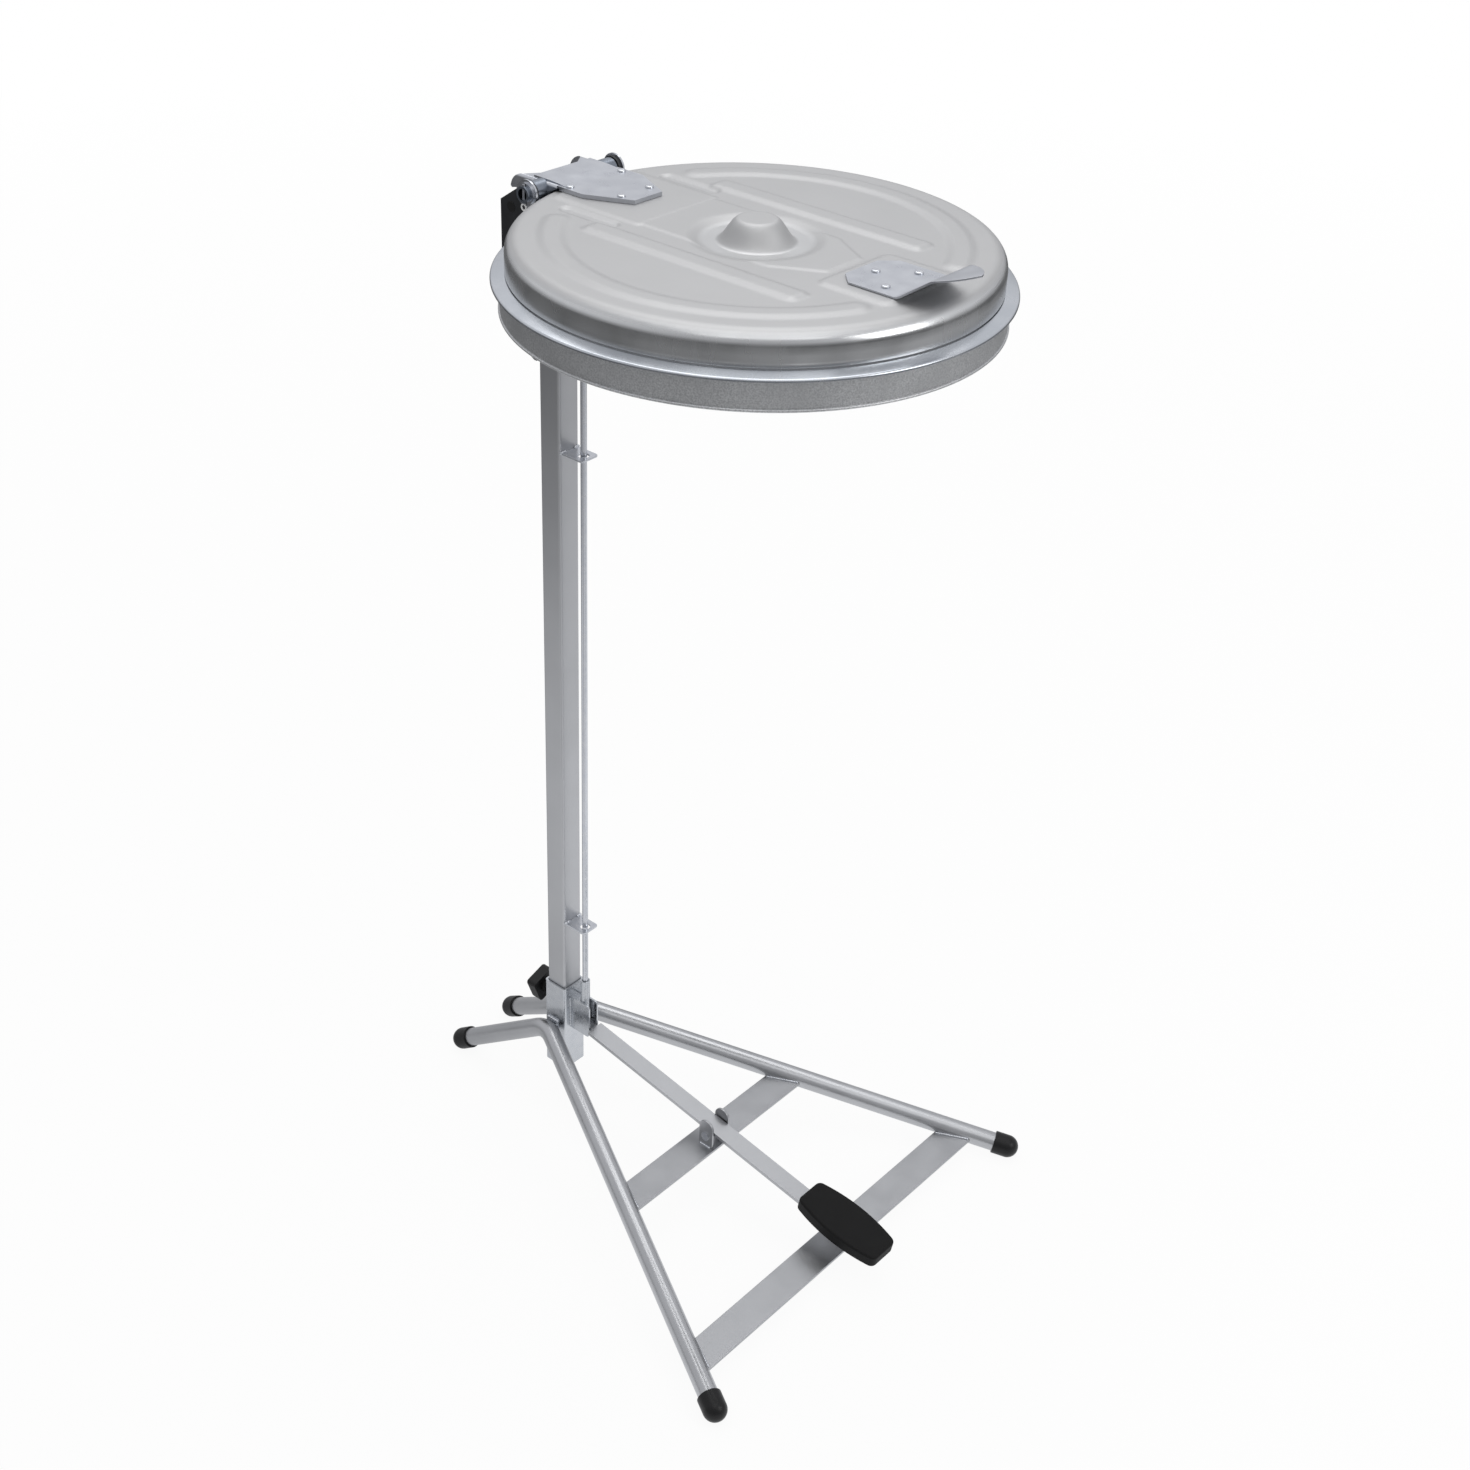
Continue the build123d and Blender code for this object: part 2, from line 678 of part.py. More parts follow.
with BuildPart() as post_cap:
    with BuildSketch(Plane.XY.offset(post_top)):
        RectangleRounded(post_side, post_side, post_corner)
    extrude(amount=post_cap_height)
    with BuildSketch(Plane.XY.offset(post_top)):
        plug_side = post_side - 2 * post_wall - 2 * running_clearance
        RectangleRounded(plug_side, plug_side, post_corner - post_wall)
    extrude(amount=-2 * post_cap_height)
post_cap.part.label = "post_cap"
export_step(post_cap.part, "parts/post_cap.step")

# Guide lugs: flat tabs with a round nose, welded to the front of the post
for name, lug_z in (("lower", lower_lug_z), ("upper", upper_lug_z)):
    with BuildPart() as lug:
        with BuildSketch(Plane.XY.offset(lug_z)):
            with Locations((0, rod_y)):
                Circle(lug_width / 2)
            with Locations((0, post_front_y)):
                Rectangle(lug_width, post_front_y - rod_y, align=(Align.CENTER, Align.MAX))
            with Locations((0, rod_y)):
                Circle(lug_hole_diameter / 2, mode=Mode.SUBTRACT)
        extrude(amount=lug_thickness)
    lug.part.label = f"guide_lug_{name}"
    export_step(lug.part, f"parts/guide_lug_{name}.step")

# Ring flange: inner neck, flat top and a sloping edge with a turned lip, pressed from one sheet
with BuildPart() as ring_flange:
    with BuildSketch(ring_section):
        with BuildLine():
            skin = FilletPolyline(
                (neck_radius, neck_bottom),
                (neck_radius, flange_top),
                (flange_flat_radius, flange_top),
                (flange_radius, flange_top - flange_edge_drop),
                (flange_radius, flange_top - flange_edge_drop - flange_lip),
                radius=(neck_bend, neck_bend, flange_lip_bend),
            )
            offset(skin, amount=flange_sheet, side=Side.RIGHT)
        make_face()
    revolve(axis=ring_axis)
    slot_y = hinge_y - head_boss_radius - head_slot_clearance
    with BuildSketch(Plane.XY.offset(neck_bottom)):
        for side in (-1, 1):
            with Locations((side * (head_half_width - head_sheet / 2), slot_y)):
                Rectangle(head_sheet + 2 * head_slot_clearance, -slot_y, align=(Align.CENTER, Align.MIN))
        with Locations((0, -ring_reach + band_radius + band_bead)):
            Rectangle(2 * head_half_width, -slot_y, align=(Align.CENTER, Align.MIN))
        with Locations((0, rod_y)):
            Circle(rod_hole_diameter / 2)
    extrude(amount=neck_height + cut_margin, mode=Mode.SUBTRACT)
ring_flange.part.label = "ring_flange"
export_step(ring_flange.part, "parts/ring_flange.step")

# Ring band: plain wall with a bead at each edge, welded under the flange
edge_slope = flange_edge_drop / (flange_radius - flange_flat_radius)
flange_under = flange_top - flange_sheet * sqrt(1 + edge_slope**2)
band_top = flange_under - edge_slope * (band_radius - flange_flat_radius) - running_clearance
with BuildPart() as ring_band:
    with BuildSketch(ring_section):
        with Locations((band_radius, band_bottom)):
            Rectangle(band_sheet, band_top - band_bottom, align=(Align.MAX, Align.MIN))
        with Locations((band_radius, band_bottom + band_bead), (band_radius, band_top - 2 * band_bead)):
            Circle(band_bead)
    revolve(axis=ring_axis)
ring_band.part.label = "ring_band"
export_step(ring_band.part, "parts/ring_band.step")

# Head bracket: back plate behind the post and two side wings, folded from one sheet
back_y = post_side / 2
with BuildPart() as head_bracket:
    with BuildSketch(Plane.XZ.offset(-back_y)):
        Polygon(
            (-head_half_width, head_back_top),
            (-head_half_width, head_shoulder_z),
            (-head_waist_half, head_waist_z),
            (-head_bottom_half, head_bottom_z),
            (head_bottom_half, head_bottom_z),
            (head_waist_half, head_waist_z),
            (head_half_width, head_shoulder_z),
            (head_half_width, head_back_top),
            align=None,
        )
        with Locations(*head_bolt_spots):
            Circle(head_bolt_diameter / 2 + head_bolt_clearance, mode=Mode.SUBTRACT)
    extrude(amount=-head_sheet)
    for start in (-head_half_width, head_half_width - head_sheet):
        with BuildSketch(hinge_plane.offset(start)):
            rear = back_y + head_sheet - hinge_y
            with BuildLine():
                Polyline(
                    (-head_boss_radius, 0),
                    (-head_boss_radius, -head_front_drop),
                    (rear, -head_shoulder_drop),
                    (rear, -head_rear_drop),
                    (0, head_boss_radius),
                    (-head_boss_radius, 0),
                )
            make_face()
            Circle(head_boss_radius)
            corner = vertices().group_by(Axis.Y)[-1].sort_by(Axis.Z)[-1]
            fillet(corner, head_rear_corner)
            Circle(hinge_tube_radius + running_clearance, mode=Mode.SUBTRACT)
            with Locations((head_hole_behind, -head_hole_drop)):
                Circle(head_hole_diameter / 2, mode=Mode.SUBTRACT)
        extrude(amount=head_sheet)
    with BuildSketch(Plane.XY.offset(head_front_z - cut_margin)):
        with Locations((0, -ring_reach)):
            Circle(band_radius)
    extrude(amount=band_top - head_front_z + cut_margin, mode=Mode.SUBTRACT)
    add(ring_band.part, mode=Mode.SUBTRACT)
head_bracket.part.label = "head_bracket"
export_step(head_bracket.part, "parts/head_bracket.step")

# Bolts through the back plate and the post, each with its head behind and its nut in front
with BuildPart() as bracket_bolts:
    bolt_rear_y = back_y + head_sheet
    for plane_y in (-bolt_rear_y, -post_front_y + bolt_head_height):
        with BuildSketch(Plane.XZ.offset(plane_y)):
            with Locations(*head_bolt_spots):
                RegularPolygon(bolt_head_width / 2, 6, major_radius=False)
        extrude(amount=-bolt_head_height)
    with BuildSketch(Plane.XZ.offset(-bolt_rear_y)):
        with Locations(*head_bolt_spots):
            Circle(head_bolt_diameter / 2)
    extrude(amount=bolt_rear_y - post_front_y)
bracket_bolts.part.label = "bracket_bolts"
export_step(bracket_bolts.part, "parts/bracket_bolts.step")

# Hinge tube with washers, collars and split pins at both ends
with BuildPart() as hinge_tube:
    with BuildSketch(hinge_plane.offset(-hinge_tube_half_length)):
        Circle(hinge_tube_radius)
        Circle(hinge_tube_radius - hinge_tube_wall, mode=Mode.SUBTRACT)
    extrude(amount=2 * hinge_tube_half_length)
    pin_x = hinge_tube_half_length - split_pin_inset
    with BuildSketch(Plane.XY.offset(hinge_z - hinge_tube_diameter)):
        with Locations((-pin_x, hinge_y), (pin_x, hinge_y)):
            Circle(split_pin_diameter / 2 + running_clearance)
    extrude(amount=2 * hinge_tube_diameter, mode=Mode.SUBTRACT)
hinge_tube.part.label = "hinge_tube"
export_step(hinge_tube.part, "parts/hinge_tube.step")

for name, side in sides:
    with BuildPart() as washer:
        washer_x = head_half_width if side > 0 else -head_half_width - washer_thickness
        with BuildSketch(hinge_plane.offset(washer_x)):
            Circle(hinge_tube_radius + washer_rim)
        extrude(amount=washer_thickness)
        collar_x = head_half_width + washer_thickness
        with BuildSketch(hinge_plane.offset(collar_x if side > 0 else -collar_x - collar_thickness)):
            Circle(hinge_tube_radius + collar_rim)
        extrude(amount=collar_thickness)
        with BuildSketch(hinge_plane.offset(-hinge_tube_half_length)):
            Circle(hinge_tube_radius + running_clearance)
        extrude(amount=2 * hinge_tube_half_length, mode=Mode.SUBTRACT)
    washer.part.label = f"hinge_washer_{name}"
    export_step(washer.part, f"parts/hinge_washer_{name}.step")

with BuildPart() as split_pins:
    eye_z = hinge_z + hinge_tube_radius + split_pin_neck + split_pin_eye_radius
    pin_top = eye_z - split_pin_eye_radius + split_pin_wire / 2
    pin_bottom = hinge_z - hinge_tube_radius - split_pin_tail
    with BuildSketch(Plane.XY.offset(pin_bottom)):
        with Locations((-pin_x, hinge_y), (pin_x, hinge_y)):
            Circle(split_pin_diameter / 2)
    extrude(amount=pin_top - pin_bottom)
    for x in (-pin_x, pin_x):
        with BuildSketch(Plane(origin=(x, hinge_y, eye_z), x_dir=(0, 1, 0), z_dir=(1, 0, 0))):
            Circle(split_pin_eye_radius)
            Circle(split_pin_eye_radius - split_pin_wire, mode=Mode.SUBTRACT)
        extrude(amount=split_pin_eye_width / 2, both=True)
split_pins.part.label = "split_pins"
export_step(split_pins.part, "parts/split_pins.step")


def lid_form(skin):
    """Solid inside the lid's outer face, lowered and drawn in by the given skin."""
    top = lid_top - skin
    radius = lid_radius - skin
    inset = skin / 2
    face = Plane(origin=(0, -ring_reach, top))
    with BuildPart() as form:
        with BuildSketch(ring_section):
            with BuildLine():
                Polyline(
                    (0, top),
                    (0, lid_bottom - skin),
                    (radius, lid_bottom - skin),
                    (radius, lid_top - lid_shoulder),
                )
                RadiusArc(
                    (radius, lid_top - lid_shoulder),
                    (lid_radius - lid_shoulder, top),
                    skin - lid_shoulder,
                )
                Line((lid_radius - lid_shoulder, top), (0, top))
            make_face()
        revolve(axis=ring_axis)
        # Raised rear platform, centre field and front pad
        with BuildSketch(face.offset(-platform_height)):
            with Locations((0, (platform_rear + platform_front) / 2)):
                Rectangle(2 * (platform_half_width - inset), platform_rear - platform_front - 2 * inset)
        extrude(amount=platform_height)
        with BuildSketch(face):
            with Locations((0, (platform_rear + platform_front) / 2)):
                Rectangle(2 * (platform_half_width - inset), platform_rear - platform_front - 2 * inset)
        extrude(amount=platform_height, taper=emboss_slope)
        with BuildSketch(face):
            Polygon(
                (-field_half_width + inset, platform_front),
                (-field_half_width + inset, -field_shoulder),
                (-field_front_half + inset, -field_front + inset),
                (field_front_half - inset, -field_front + inset),
                (field_half_width - inset, -field_shoulder),
                (field_half_width - inset, platform_front),
                align=None,
            )
        extrude(amount=field_height, taper=emboss_slope)
        with BuildSketch(face):
            with Locations((0, -(front_pad_rear + front_pad_front) / 2)):
                RectangleRounded(
                    2 * (front_pad_half_width - inset),
                    front_pad_front - front_pad_rear - 2 * inset,
                    front_pad_corner,
                )
        extrude(amount=front_pad_height, taper=emboss_slope)
        # Straight ribs, curved ribs and recessed slots at the sides
        with BuildSketch(face):
            with Locations((-side_rib_centre, 0), (side_rib_centre, 0)):
                rib_width = side_rib_width - 2 * inset
                rib_length = side_rib_length - 2 * inset
                RectangleRounded(rib_width, rib_length, side_rib_corner)
        extrude(amount=side_rib_height, taper=emboss_slope)
        sweep_angle = curved_rib_rear_angle + curved_rib_front_angle
        with BuildSketch(face):
            for start in (-curved_rib_front_angle, 180 - curved_rib_rear_angle):
                with BuildLine():
                    CenterArc((0, 0), curved_rib_radius, start, sweep_angle)
                    offset(amount=curved_rib_width / 2 - inset)
                make_face()
        extrude(amount=curved_rib_height, taper=emboss_slope)
        spread = inset + side_rib_height * emboss_run
        slot_y = slot_rear - slot_length / 2
        with BuildSketch(face.offset(side_rib_height)):
            with Locations((-slot_centre, slot_y), (slot_centre, slot_y)):
                SlotOverall(slot_length + 2 * spread, slot_width + 2 * spread, rotation=90)
        extrude(amount=-side_rib_height - slot_depth, taper=emboss_slope, mode=Mode.SUBTRACT)
        # Round dish with a raised boss in the middle
        spread = inset + (side_rib_height - field_height) * emboss_run
        with BuildSketch(face.offset(side_rib_height)):
            Circle(dish_radius + spread)
        extrude(amount=-side_rib_height - dish_depth, taper=emboss_slope, mode=Mode.SUBTRACT)
        draft = degrees(atan2(boss_base_radius - boss_top_radius, boss_height + dish_depth))
        with BuildSketch(face.offset(-dish_depth)):
            Circle(boss_base_radius - skin)
        extrude(amount=boss_height + dish_depth, taper=draft)
        fillet(form.faces().sort_by(Axis.Z)[-1].edges(), boss_edge - skin)
    return form.part


# Lid: one pressed sheet with every form carried through to its underside
with BuildPart() as lid:
    add(lid_form(0))
    add(lid_form(lid_sheet), mode=Mode.SUBTRACT)
    with BuildSketch(Plane.XY.offset(lid_bottom - lid_sheet)):
        with Locations((0, -ring_reach + lid_radius)):
            Rectangle(rod_head_diameter + 2 * lid_notch_gap, 2 * lid_shoulder)
    extrude(amount=lid_notch_top - lid_bottom + lid_sheet, mode=Mode.SUBTRACT)
    with BuildSketch(Plane.XY.offset(lid_bottom)):
        with Locations(*hinge_rivet_spots, *handle_rivet_spots):
            Circle(rivet_diameter / 2 + running_clearance)
    extrude(amount=boss_height + lid_top - lid_bottom, mode=Mode.SUBTRACT)
lid.part.label = "lid"
export_step(lid.part, "parts/lid.step")

# Hinge plate: cut sheet on the lid with a flange folded down round the hinge tube at each side
plate_bottom = lid_top + platform_height + hinge_backing_sheet
plate_top = plate_bottom + hinge_plate_sheet
with BuildPart() as hinge_plate:
    for name, side in sides:
        with BuildSketch(Plane.XZ.offset(-hinge_y - hinge_flange_tail)):
            outer_x = side * hinge_plate_half_width
            inner_x = side * (hinge_plate_half_width - hinge_plate_sheet)
            root_x = side * (hinge_plate_half_width - 2 * hinge_bend)
            lobe_bottom = hinge_z - hinge_flange_lobe
            Polygon(
                (root_x, plate_top),
                (outer_x, plate_top),
                (outer_x, lobe_bottom),
                (inner_x, lobe_bottom),
                (inner_x, plate_bottom),
                (root_x, plate_bottom),
                align=None,
            )
            fold = vertices().group_by(Axis.X)[-1 if side > 0 else 0].sort_by(Axis.Y)[-1]
            fillet(fold, hinge_bend)
        extrude(amount=hinge_y + hinge_flange_tail - hinge_flange_front_y)
    # Outline of the flange: tail behind the tube, lobe round it and a slope towards the lid
    with BuildSketch(hinge_plane.offset(-hinge_plate_half_width)):
        front = hinge_flange_front_y - hinge_y
        rear = hinge_plate_rear_y - hinge_y
        over = plate_top - hinge_z
        under = plate_bottom - hinge_z
        with BuildLine():
            Line((front, over), (rear, over))
            ThreePointArc(
                (rear, over),
                (
                    (rear + hinge_flange_tail) / 2 + hinge_bend,
                    (over + hinge_flange_tail_top) / 2 + hinge_bend / 2,
                ),
                (hinge_flange_tail, hinge_flange_tail_top),
            )
            Polyline(
                (hinge_flange_tail, hinge_flange_tail_top),
                (
                    hinge_flange_tail - hinge_flange_tail_corner,
                    hinge_flange_tail_top - hinge_flange_tail_corner,
                ),
                (hinge_flange_waist, -hinge_flange_waist_drop),
                (0, -hinge_flange_lobe),
                (-hinge_flange_lobe, 0),
                (front, under - hinge_backing_sheet / 2),
                (front, over),
            )
        make_face()
        Circle(hinge_flange_lobe)
    extrude(amount=2 * hinge_plate_half_width, mode=Mode.INTERSECT)
    with BuildSketch(Plane.XY.offset(plate_bottom)):
        Polygon(
            (-hinge_plate_front_half, hinge_plate_front_y),
            (hinge_plate_front_half, hinge_plate_front_y),
            (hinge_plate_half_width, hinge_plate_shoulder_y),
            (hinge_plate_half_width, hinge_flange_front_y),
            (hinge_plate_half_width - hinge_bend, hinge_flange_front_y),
            (hinge_plate_half_width - hinge_bend, hinge_plate_rear_y),
            (-hinge_plate_half_width + hinge_bend, hinge_plate_rear_y),
            (-hinge_plate_half_width + hinge_bend, hinge_flange_front_y),
            (-hinge_plate_half_width, hinge_flange_front_y),
            (-hinge_plate_half_width, hinge_plate_shoulder_y),
            align=None,
        )
        with Locations(*hinge_rivet_spots):
            Circle(rivet_diameter / 2 + running_clearance, mode=Mode.SUBTRACT)
    extrude(amount=hinge_plate_sheet)
    # Rear edge between the flanges, straight in the middle and slanting back at both sides
    with BuildSketch(Plane.XY.offset(hinge_z)):
        fold_x = hinge_plate_half_width - hinge_plate_sheet
        tail_y = hinge_y + 2 * hinge_flange_tail
        Polygon(
            (-hinge_plate_front_half, hinge_plate_notch_y),
            (hinge_plate_front_half, hinge_plate_notch_y),
            (fold_x, hinge_plate_rear_y),
            (fold_x, tail_y),
            (-fold_x, tail_y),
            (-fold_x, hinge_plate_rear_y),
            align=None,
        )
    extrude(amount=plate_top - hinge_z + cut_margin, mode=Mode.SUBTRACT)
    with BuildSketch(hinge_plane.offset(-hinge_plate_half_width)):
        Circle(bush_diameter / 2 + running_clearance)
    extrude(amount=2 * hinge_plate_half_width, mode=Mode.SUBTRACT)
hinge_plate.part.label = "hinge_plate"
export_step(hinge_plate.part, "parts/hinge_plate.step")

with BuildPart() as hinge_backing:
    with BuildSketch(Plane.XY.offset(lid_top + platform_height)):
        Polygon(
            (-hinge_plate_front_half, hinge_plate_front_y),
            (hinge_plate_front_half, hinge_plate_front_y),
            (hinge_plate_half_width, hinge_plate_shoulder_y),
            (hinge_plate_half_width, -ring_reach + platform_rear - platform_height),
            (-hinge_plate_half_width, -ring_reach + platform_rear - platform_height),
            (-hinge_plate_half_width, hinge_plate_shoulder_y),
            align=None,
        )
        with Locations(*hinge_rivet_spots):
            Circle(rivet_diameter / 2 + running_clearance, mode=Mode.SUBTRACT)
    extrude(amount=hinge_backing_sheet)
hinge_backing.part.label = "hinge_backing"
export_step(hinge_backing.part, "parts/hinge_backing.step")

for name, side in sides:
    with BuildPart() as bush:
        with BuildSketch(hinge_plane.offset(bush_inner_end if side > 0 else -bush_outer_end)):
            Circle(bush_diameter / 2)
            Circle(hinge_tube_radius + running_clearance, mode=Mode.SUBTRACT)
        extrude(amount=bush_outer_end - bush_inner_end)
    bush.part.label = f"hinge_bush_{name}"
    export_step(bush.part, f"parts/hinge_bush_{name}.step")

# Rivets: domed head on top and a flat set head under the sheet
with BuildPart() as hinge_rivet_set:
    rivet_foot = lid_top + platform_height - lid_sheet
    with BuildSketch(Plane.XY.offset(rivet_foot)):
        with Locations(*hinge_rivet_spots):
            Circle(rivet_diameter / 2)
    extrude(amount=plate_top - rivet_foot)
    with BuildSketch(Plane.XY.offset(plate_top)):
        with Locations(*hinge_rivet_spots):
            Circle(rivet_head_diameter / 2)
    extrude(amount=rivet_head_height)
    fillet(hinge_rivet_set.edges().group_by(Axis.Z)[-1], rivet_head_height * rivet_dome_share)
    with BuildSketch(Plane.XY.offset(rivet_foot)):
        with Locations(*hinge_rivet_spots):
            Circle(rivet_diameter / 2 + rivet_foot_rim)
    extrude(amount=-rivet_foot_height)
hinge_rivet_set.part.label = "hinge_rivets"
export_step(hinge_rivet_set.part, "parts/hinge_rivets.step")

# Lift cheeks and roller under the rear of the lid, pushed by the head of the rod
for name, side in sides:
    with BuildPart() as cheek:
        with BuildSketch(hinge_plane.offset(cheek_gap / 2 if side > 0 else -cheek_gap / 2 - cheek_thickness)):
            root = lid_top - lid_sheet - hinge_z
            root_rear = lid_radius - lid_shoulder - ring_reach - hinge_y
            with Locations((roller_y - hinge_y, roller_z - hinge_z)):
                Circle(cheek_eye)
            with BuildLine():
                Polyline(
                    (root_rear, root),
                    (root_rear - cheek_root, root),
                    (root_rear - cheek_root, root - cheek_root_height),
                    (root_rear, root - cheek_root_height),
                    (root_rear, root),
                )
            make_face()
            make_hull()
            with Locations((roller_y - hinge_y, roller_z - hinge_z)):
                Circle(roller_pin_diameter / 2 + running_clearance, mode=Mode.SUBTRACT)
        extrude(amount=cheek_thickness)
    cheek.part.label = f"lift_cheek_{name}"
    export_step(cheek.part, f"parts/lift_cheek_{name}.step")

with BuildPart() as lift_roller:
    roller_half = cheek_gap / 2 - running_clearance
    pin_half = cheek_gap / 2 + cheek_thickness
    roller_plane = Plane(origin=(0, roller_y, roller_z), x_dir=(0, 1, 0), z_dir=(1, 0, 0))
    with BuildSketch(roller_plane.offset(-pin_half)):
        Circle(roller_pin_diameter / 2)
    extrude(amount=2 * pin_half)
    with BuildSketch(roller_plane.offset(-roller_half)):
        Circle(roller_diameter / 2)
    extrude(amount=2 * roller_half)
lift_roller.part.label = "lift_roller"
export_step(lift_roller.part, "parts/lift_roller.step")

# Handle plate: flat riveted foot and a rounded tongue that rises over the front edge
pad_top = lid_top + front_pad_height
with BuildPart() as handle_plate:
    with BuildSketch(Plane.YZ.offset(-handle_half_width)):
        with BuildLine():
            skin = FilletPolyline(
                (handle_rear_y, pad_top),
                (handle_bend_y, pad_top),
                (handle_shoulder_y, lid_top + handle_shoulder_rise),
                (handle_tip_y, lid_top + handle_rise - handle_sheet),
                radius=handle_bend_radius,
            )
            offset(skin, amount=handle_sheet, side=Side.RIGHT)
        make_face()
    extrude(amount=2 * handle_half_width)
    with BuildSketch(Plane.XY.offset(lid_top)):
        with BuildLine():
            Polyline(
                (-handle_neck_half, handle_neck_y),
                (-handle_half_width, handle_bend_y),
                (-handle_half_width, handle_rear_y - handle_chamfer),
                (-handle_half_width + handle_chamfer, handle_rear_y),
                (handle_half_width - handle_chamfer, handle_rear_y),
                (handle_half_width, handle_rear_y - handle_chamfer),
                (handle_half_width, handle_bend_y),
                (handle_neck_half, handle_neck_y),
            )
            ThreePointArc(
                (handle_neck_half, handle_neck_y),
                (handle_lip_half, handle_lip_y),
                (0, handle_tip_y),
            )
            ThreePointArc(
                (0, handle_tip_y),
                (-handle_lip_half, handle_lip_y),
                (-handle_neck_half, handle_neck_y),
            )
        make_face()
        with Locations(*handle_rivet_spots):
            Circle(rivet_diameter / 2 + running_clearance, mode=Mode.SUBTRACT)
    extrude(amount=2 * handle_rise, mode=Mode.INTERSECT)
handle_plate.part.label = "handle_plate"
export_step(handle_plate.part, "parts/handle_plate.step")

with BuildPart() as handle_rivet_set:
    handle_top = pad_top + handle_sheet
    handle_foot = pad_top - lid_sheet
    with BuildSketch(Plane.XY.offset(handle_foot)):
        with Locations(*handle_rivet_spots):
            Circle(rivet_diameter / 2)
    extrude(amount=handle_top - handle_foot)
    with BuildSketch(Plane.XY.offset(handle_top)):
        with Locations(*handle_rivet_spots):
            Circle(rivet_head_diameter / 2)
    extrude(amount=rivet_head_height)
    fillet(handle_rivet_set.edges().group_by(Axis.Z)[-1], rivet_head_height * rivet_dome_share)
    with BuildSketch(Plane.XY.offset(handle_foot)):
        with Locations(*handle_rivet_spots):
            Circle(rivet_diameter / 2 + rivet_foot_rim)
    extrude(amount=-rivet_foot_height)
handle_rivet_set.part.label = "handle_rivets"
export_step(handle_rivet_set.part, "parts/handle_rivets.step")
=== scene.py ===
import math

import bmesh
import bpy
import numpy as np
from mathutils import Matrix, Vector


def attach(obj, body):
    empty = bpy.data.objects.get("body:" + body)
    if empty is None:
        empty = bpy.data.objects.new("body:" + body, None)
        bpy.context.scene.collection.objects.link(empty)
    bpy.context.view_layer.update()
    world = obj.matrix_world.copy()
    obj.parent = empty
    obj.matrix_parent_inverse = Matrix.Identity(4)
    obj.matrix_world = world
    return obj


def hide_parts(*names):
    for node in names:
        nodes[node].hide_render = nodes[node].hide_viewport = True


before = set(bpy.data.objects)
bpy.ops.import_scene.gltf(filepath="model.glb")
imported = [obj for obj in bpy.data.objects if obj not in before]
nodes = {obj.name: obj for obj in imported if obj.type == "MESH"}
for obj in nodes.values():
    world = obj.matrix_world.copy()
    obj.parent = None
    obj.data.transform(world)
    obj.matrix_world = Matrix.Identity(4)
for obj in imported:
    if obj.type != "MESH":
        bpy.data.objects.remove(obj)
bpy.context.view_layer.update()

# Camera: it stands left of the pedal side, a little above the lid, and looks down at the whole
# holder. Place, angles, roll and focal length are those of the photograph.
CAMERA_AZIMUTH = math.radians(-50.51)
CAMERA_ELEVATION = math.radians(32.52)
CAMERA_ROLL = math.radians(2.41)
CAMERA_PLACE = Vector((-1.2640, -1.2642, 1.5971))
CAMERA_FILM_MM = 36.0
CAMERA_LENS_MM = 52.04

back = Vector((
    math.sin(CAMERA_AZIMUTH) * math.cos(CAMERA_ELEVATION),
    -math.cos(CAMERA_AZIMUTH) * math.cos(CAMERA_ELEVATION),
    math.sin(CAMERA_ELEVATION),
))
level_right = Vector((math.cos(CAMERA_AZIMUTH), math.sin(CAMERA_AZIMUTH), 0))
level_up = back.cross(level_right)
right = level_right * math.cos(CAMERA_ROLL) + level_up * math.sin(CAMERA_ROLL)
up = level_up * math.cos(CAMERA_ROLL) - level_right * math.sin(CAMERA_ROLL)
bpy.ops.object.camera_add()
camera = bpy.context.object
camera.data.sensor_width = CAMERA_FILM_MM
camera.data.lens = CAMERA_LENS_MM
camera.data.clip_start = 0.05
turn = Matrix((right, up, back)).transposed().to_4x4()
camera.matrix_world = Matrix.Translation(CAMERA_PLACE) @ turn
bpy.context.scene.camera = camera
bpy.context.scene.view_settings.view_transform = "Standard"


# Studio: a white paper floor that takes the contact shadows, an even pale room and three soft
# boxes. The metal mirrors a floor that fades in broad zones away from one bright spot, and a
# room that is darker low down and behind the camera.
def colour(code):
    """Linear colour of an sRGB hex value."""
    parts = [int(code[i:i + 2], 16) / 255 for i in (1, 3, 5)]
    return [p / 12.92 if p <= 0.04045 else ((p + 0.055) / 1.055) ** 2.4 for p in parts] + [1.0]


def add_node(tree, kind, inputs, **settings):
    """Adds a node with its settings. Each input is given a value or the output that feeds it."""
    made = tree.nodes.new(kind)
    for name, value in settings.items():
        setattr(made, name, value)
    for name, value in inputs.items():
        if isinstance(value, bpy.types.NodeSocket):
            tree.links.new(value, made.inputs[name])
        else:
            made.inputs[name].default_value = value
    return made


def new_material(name):
    """A material with an empty node tree."""
    made = bpy.data.materials.new(name)
    made.use_nodes = True
    made.node_tree.nodes.clear()
    return made, made.node_tree


def deselect_all():
    """Leaves nothing selected, in object mode."""
    if bpy.context.object and bpy.context.object.mode != "OBJECT":
        bpy.ops.object.mode_set(mode="OBJECT")
    bpy.ops.object.select_all(action="DESELECT")


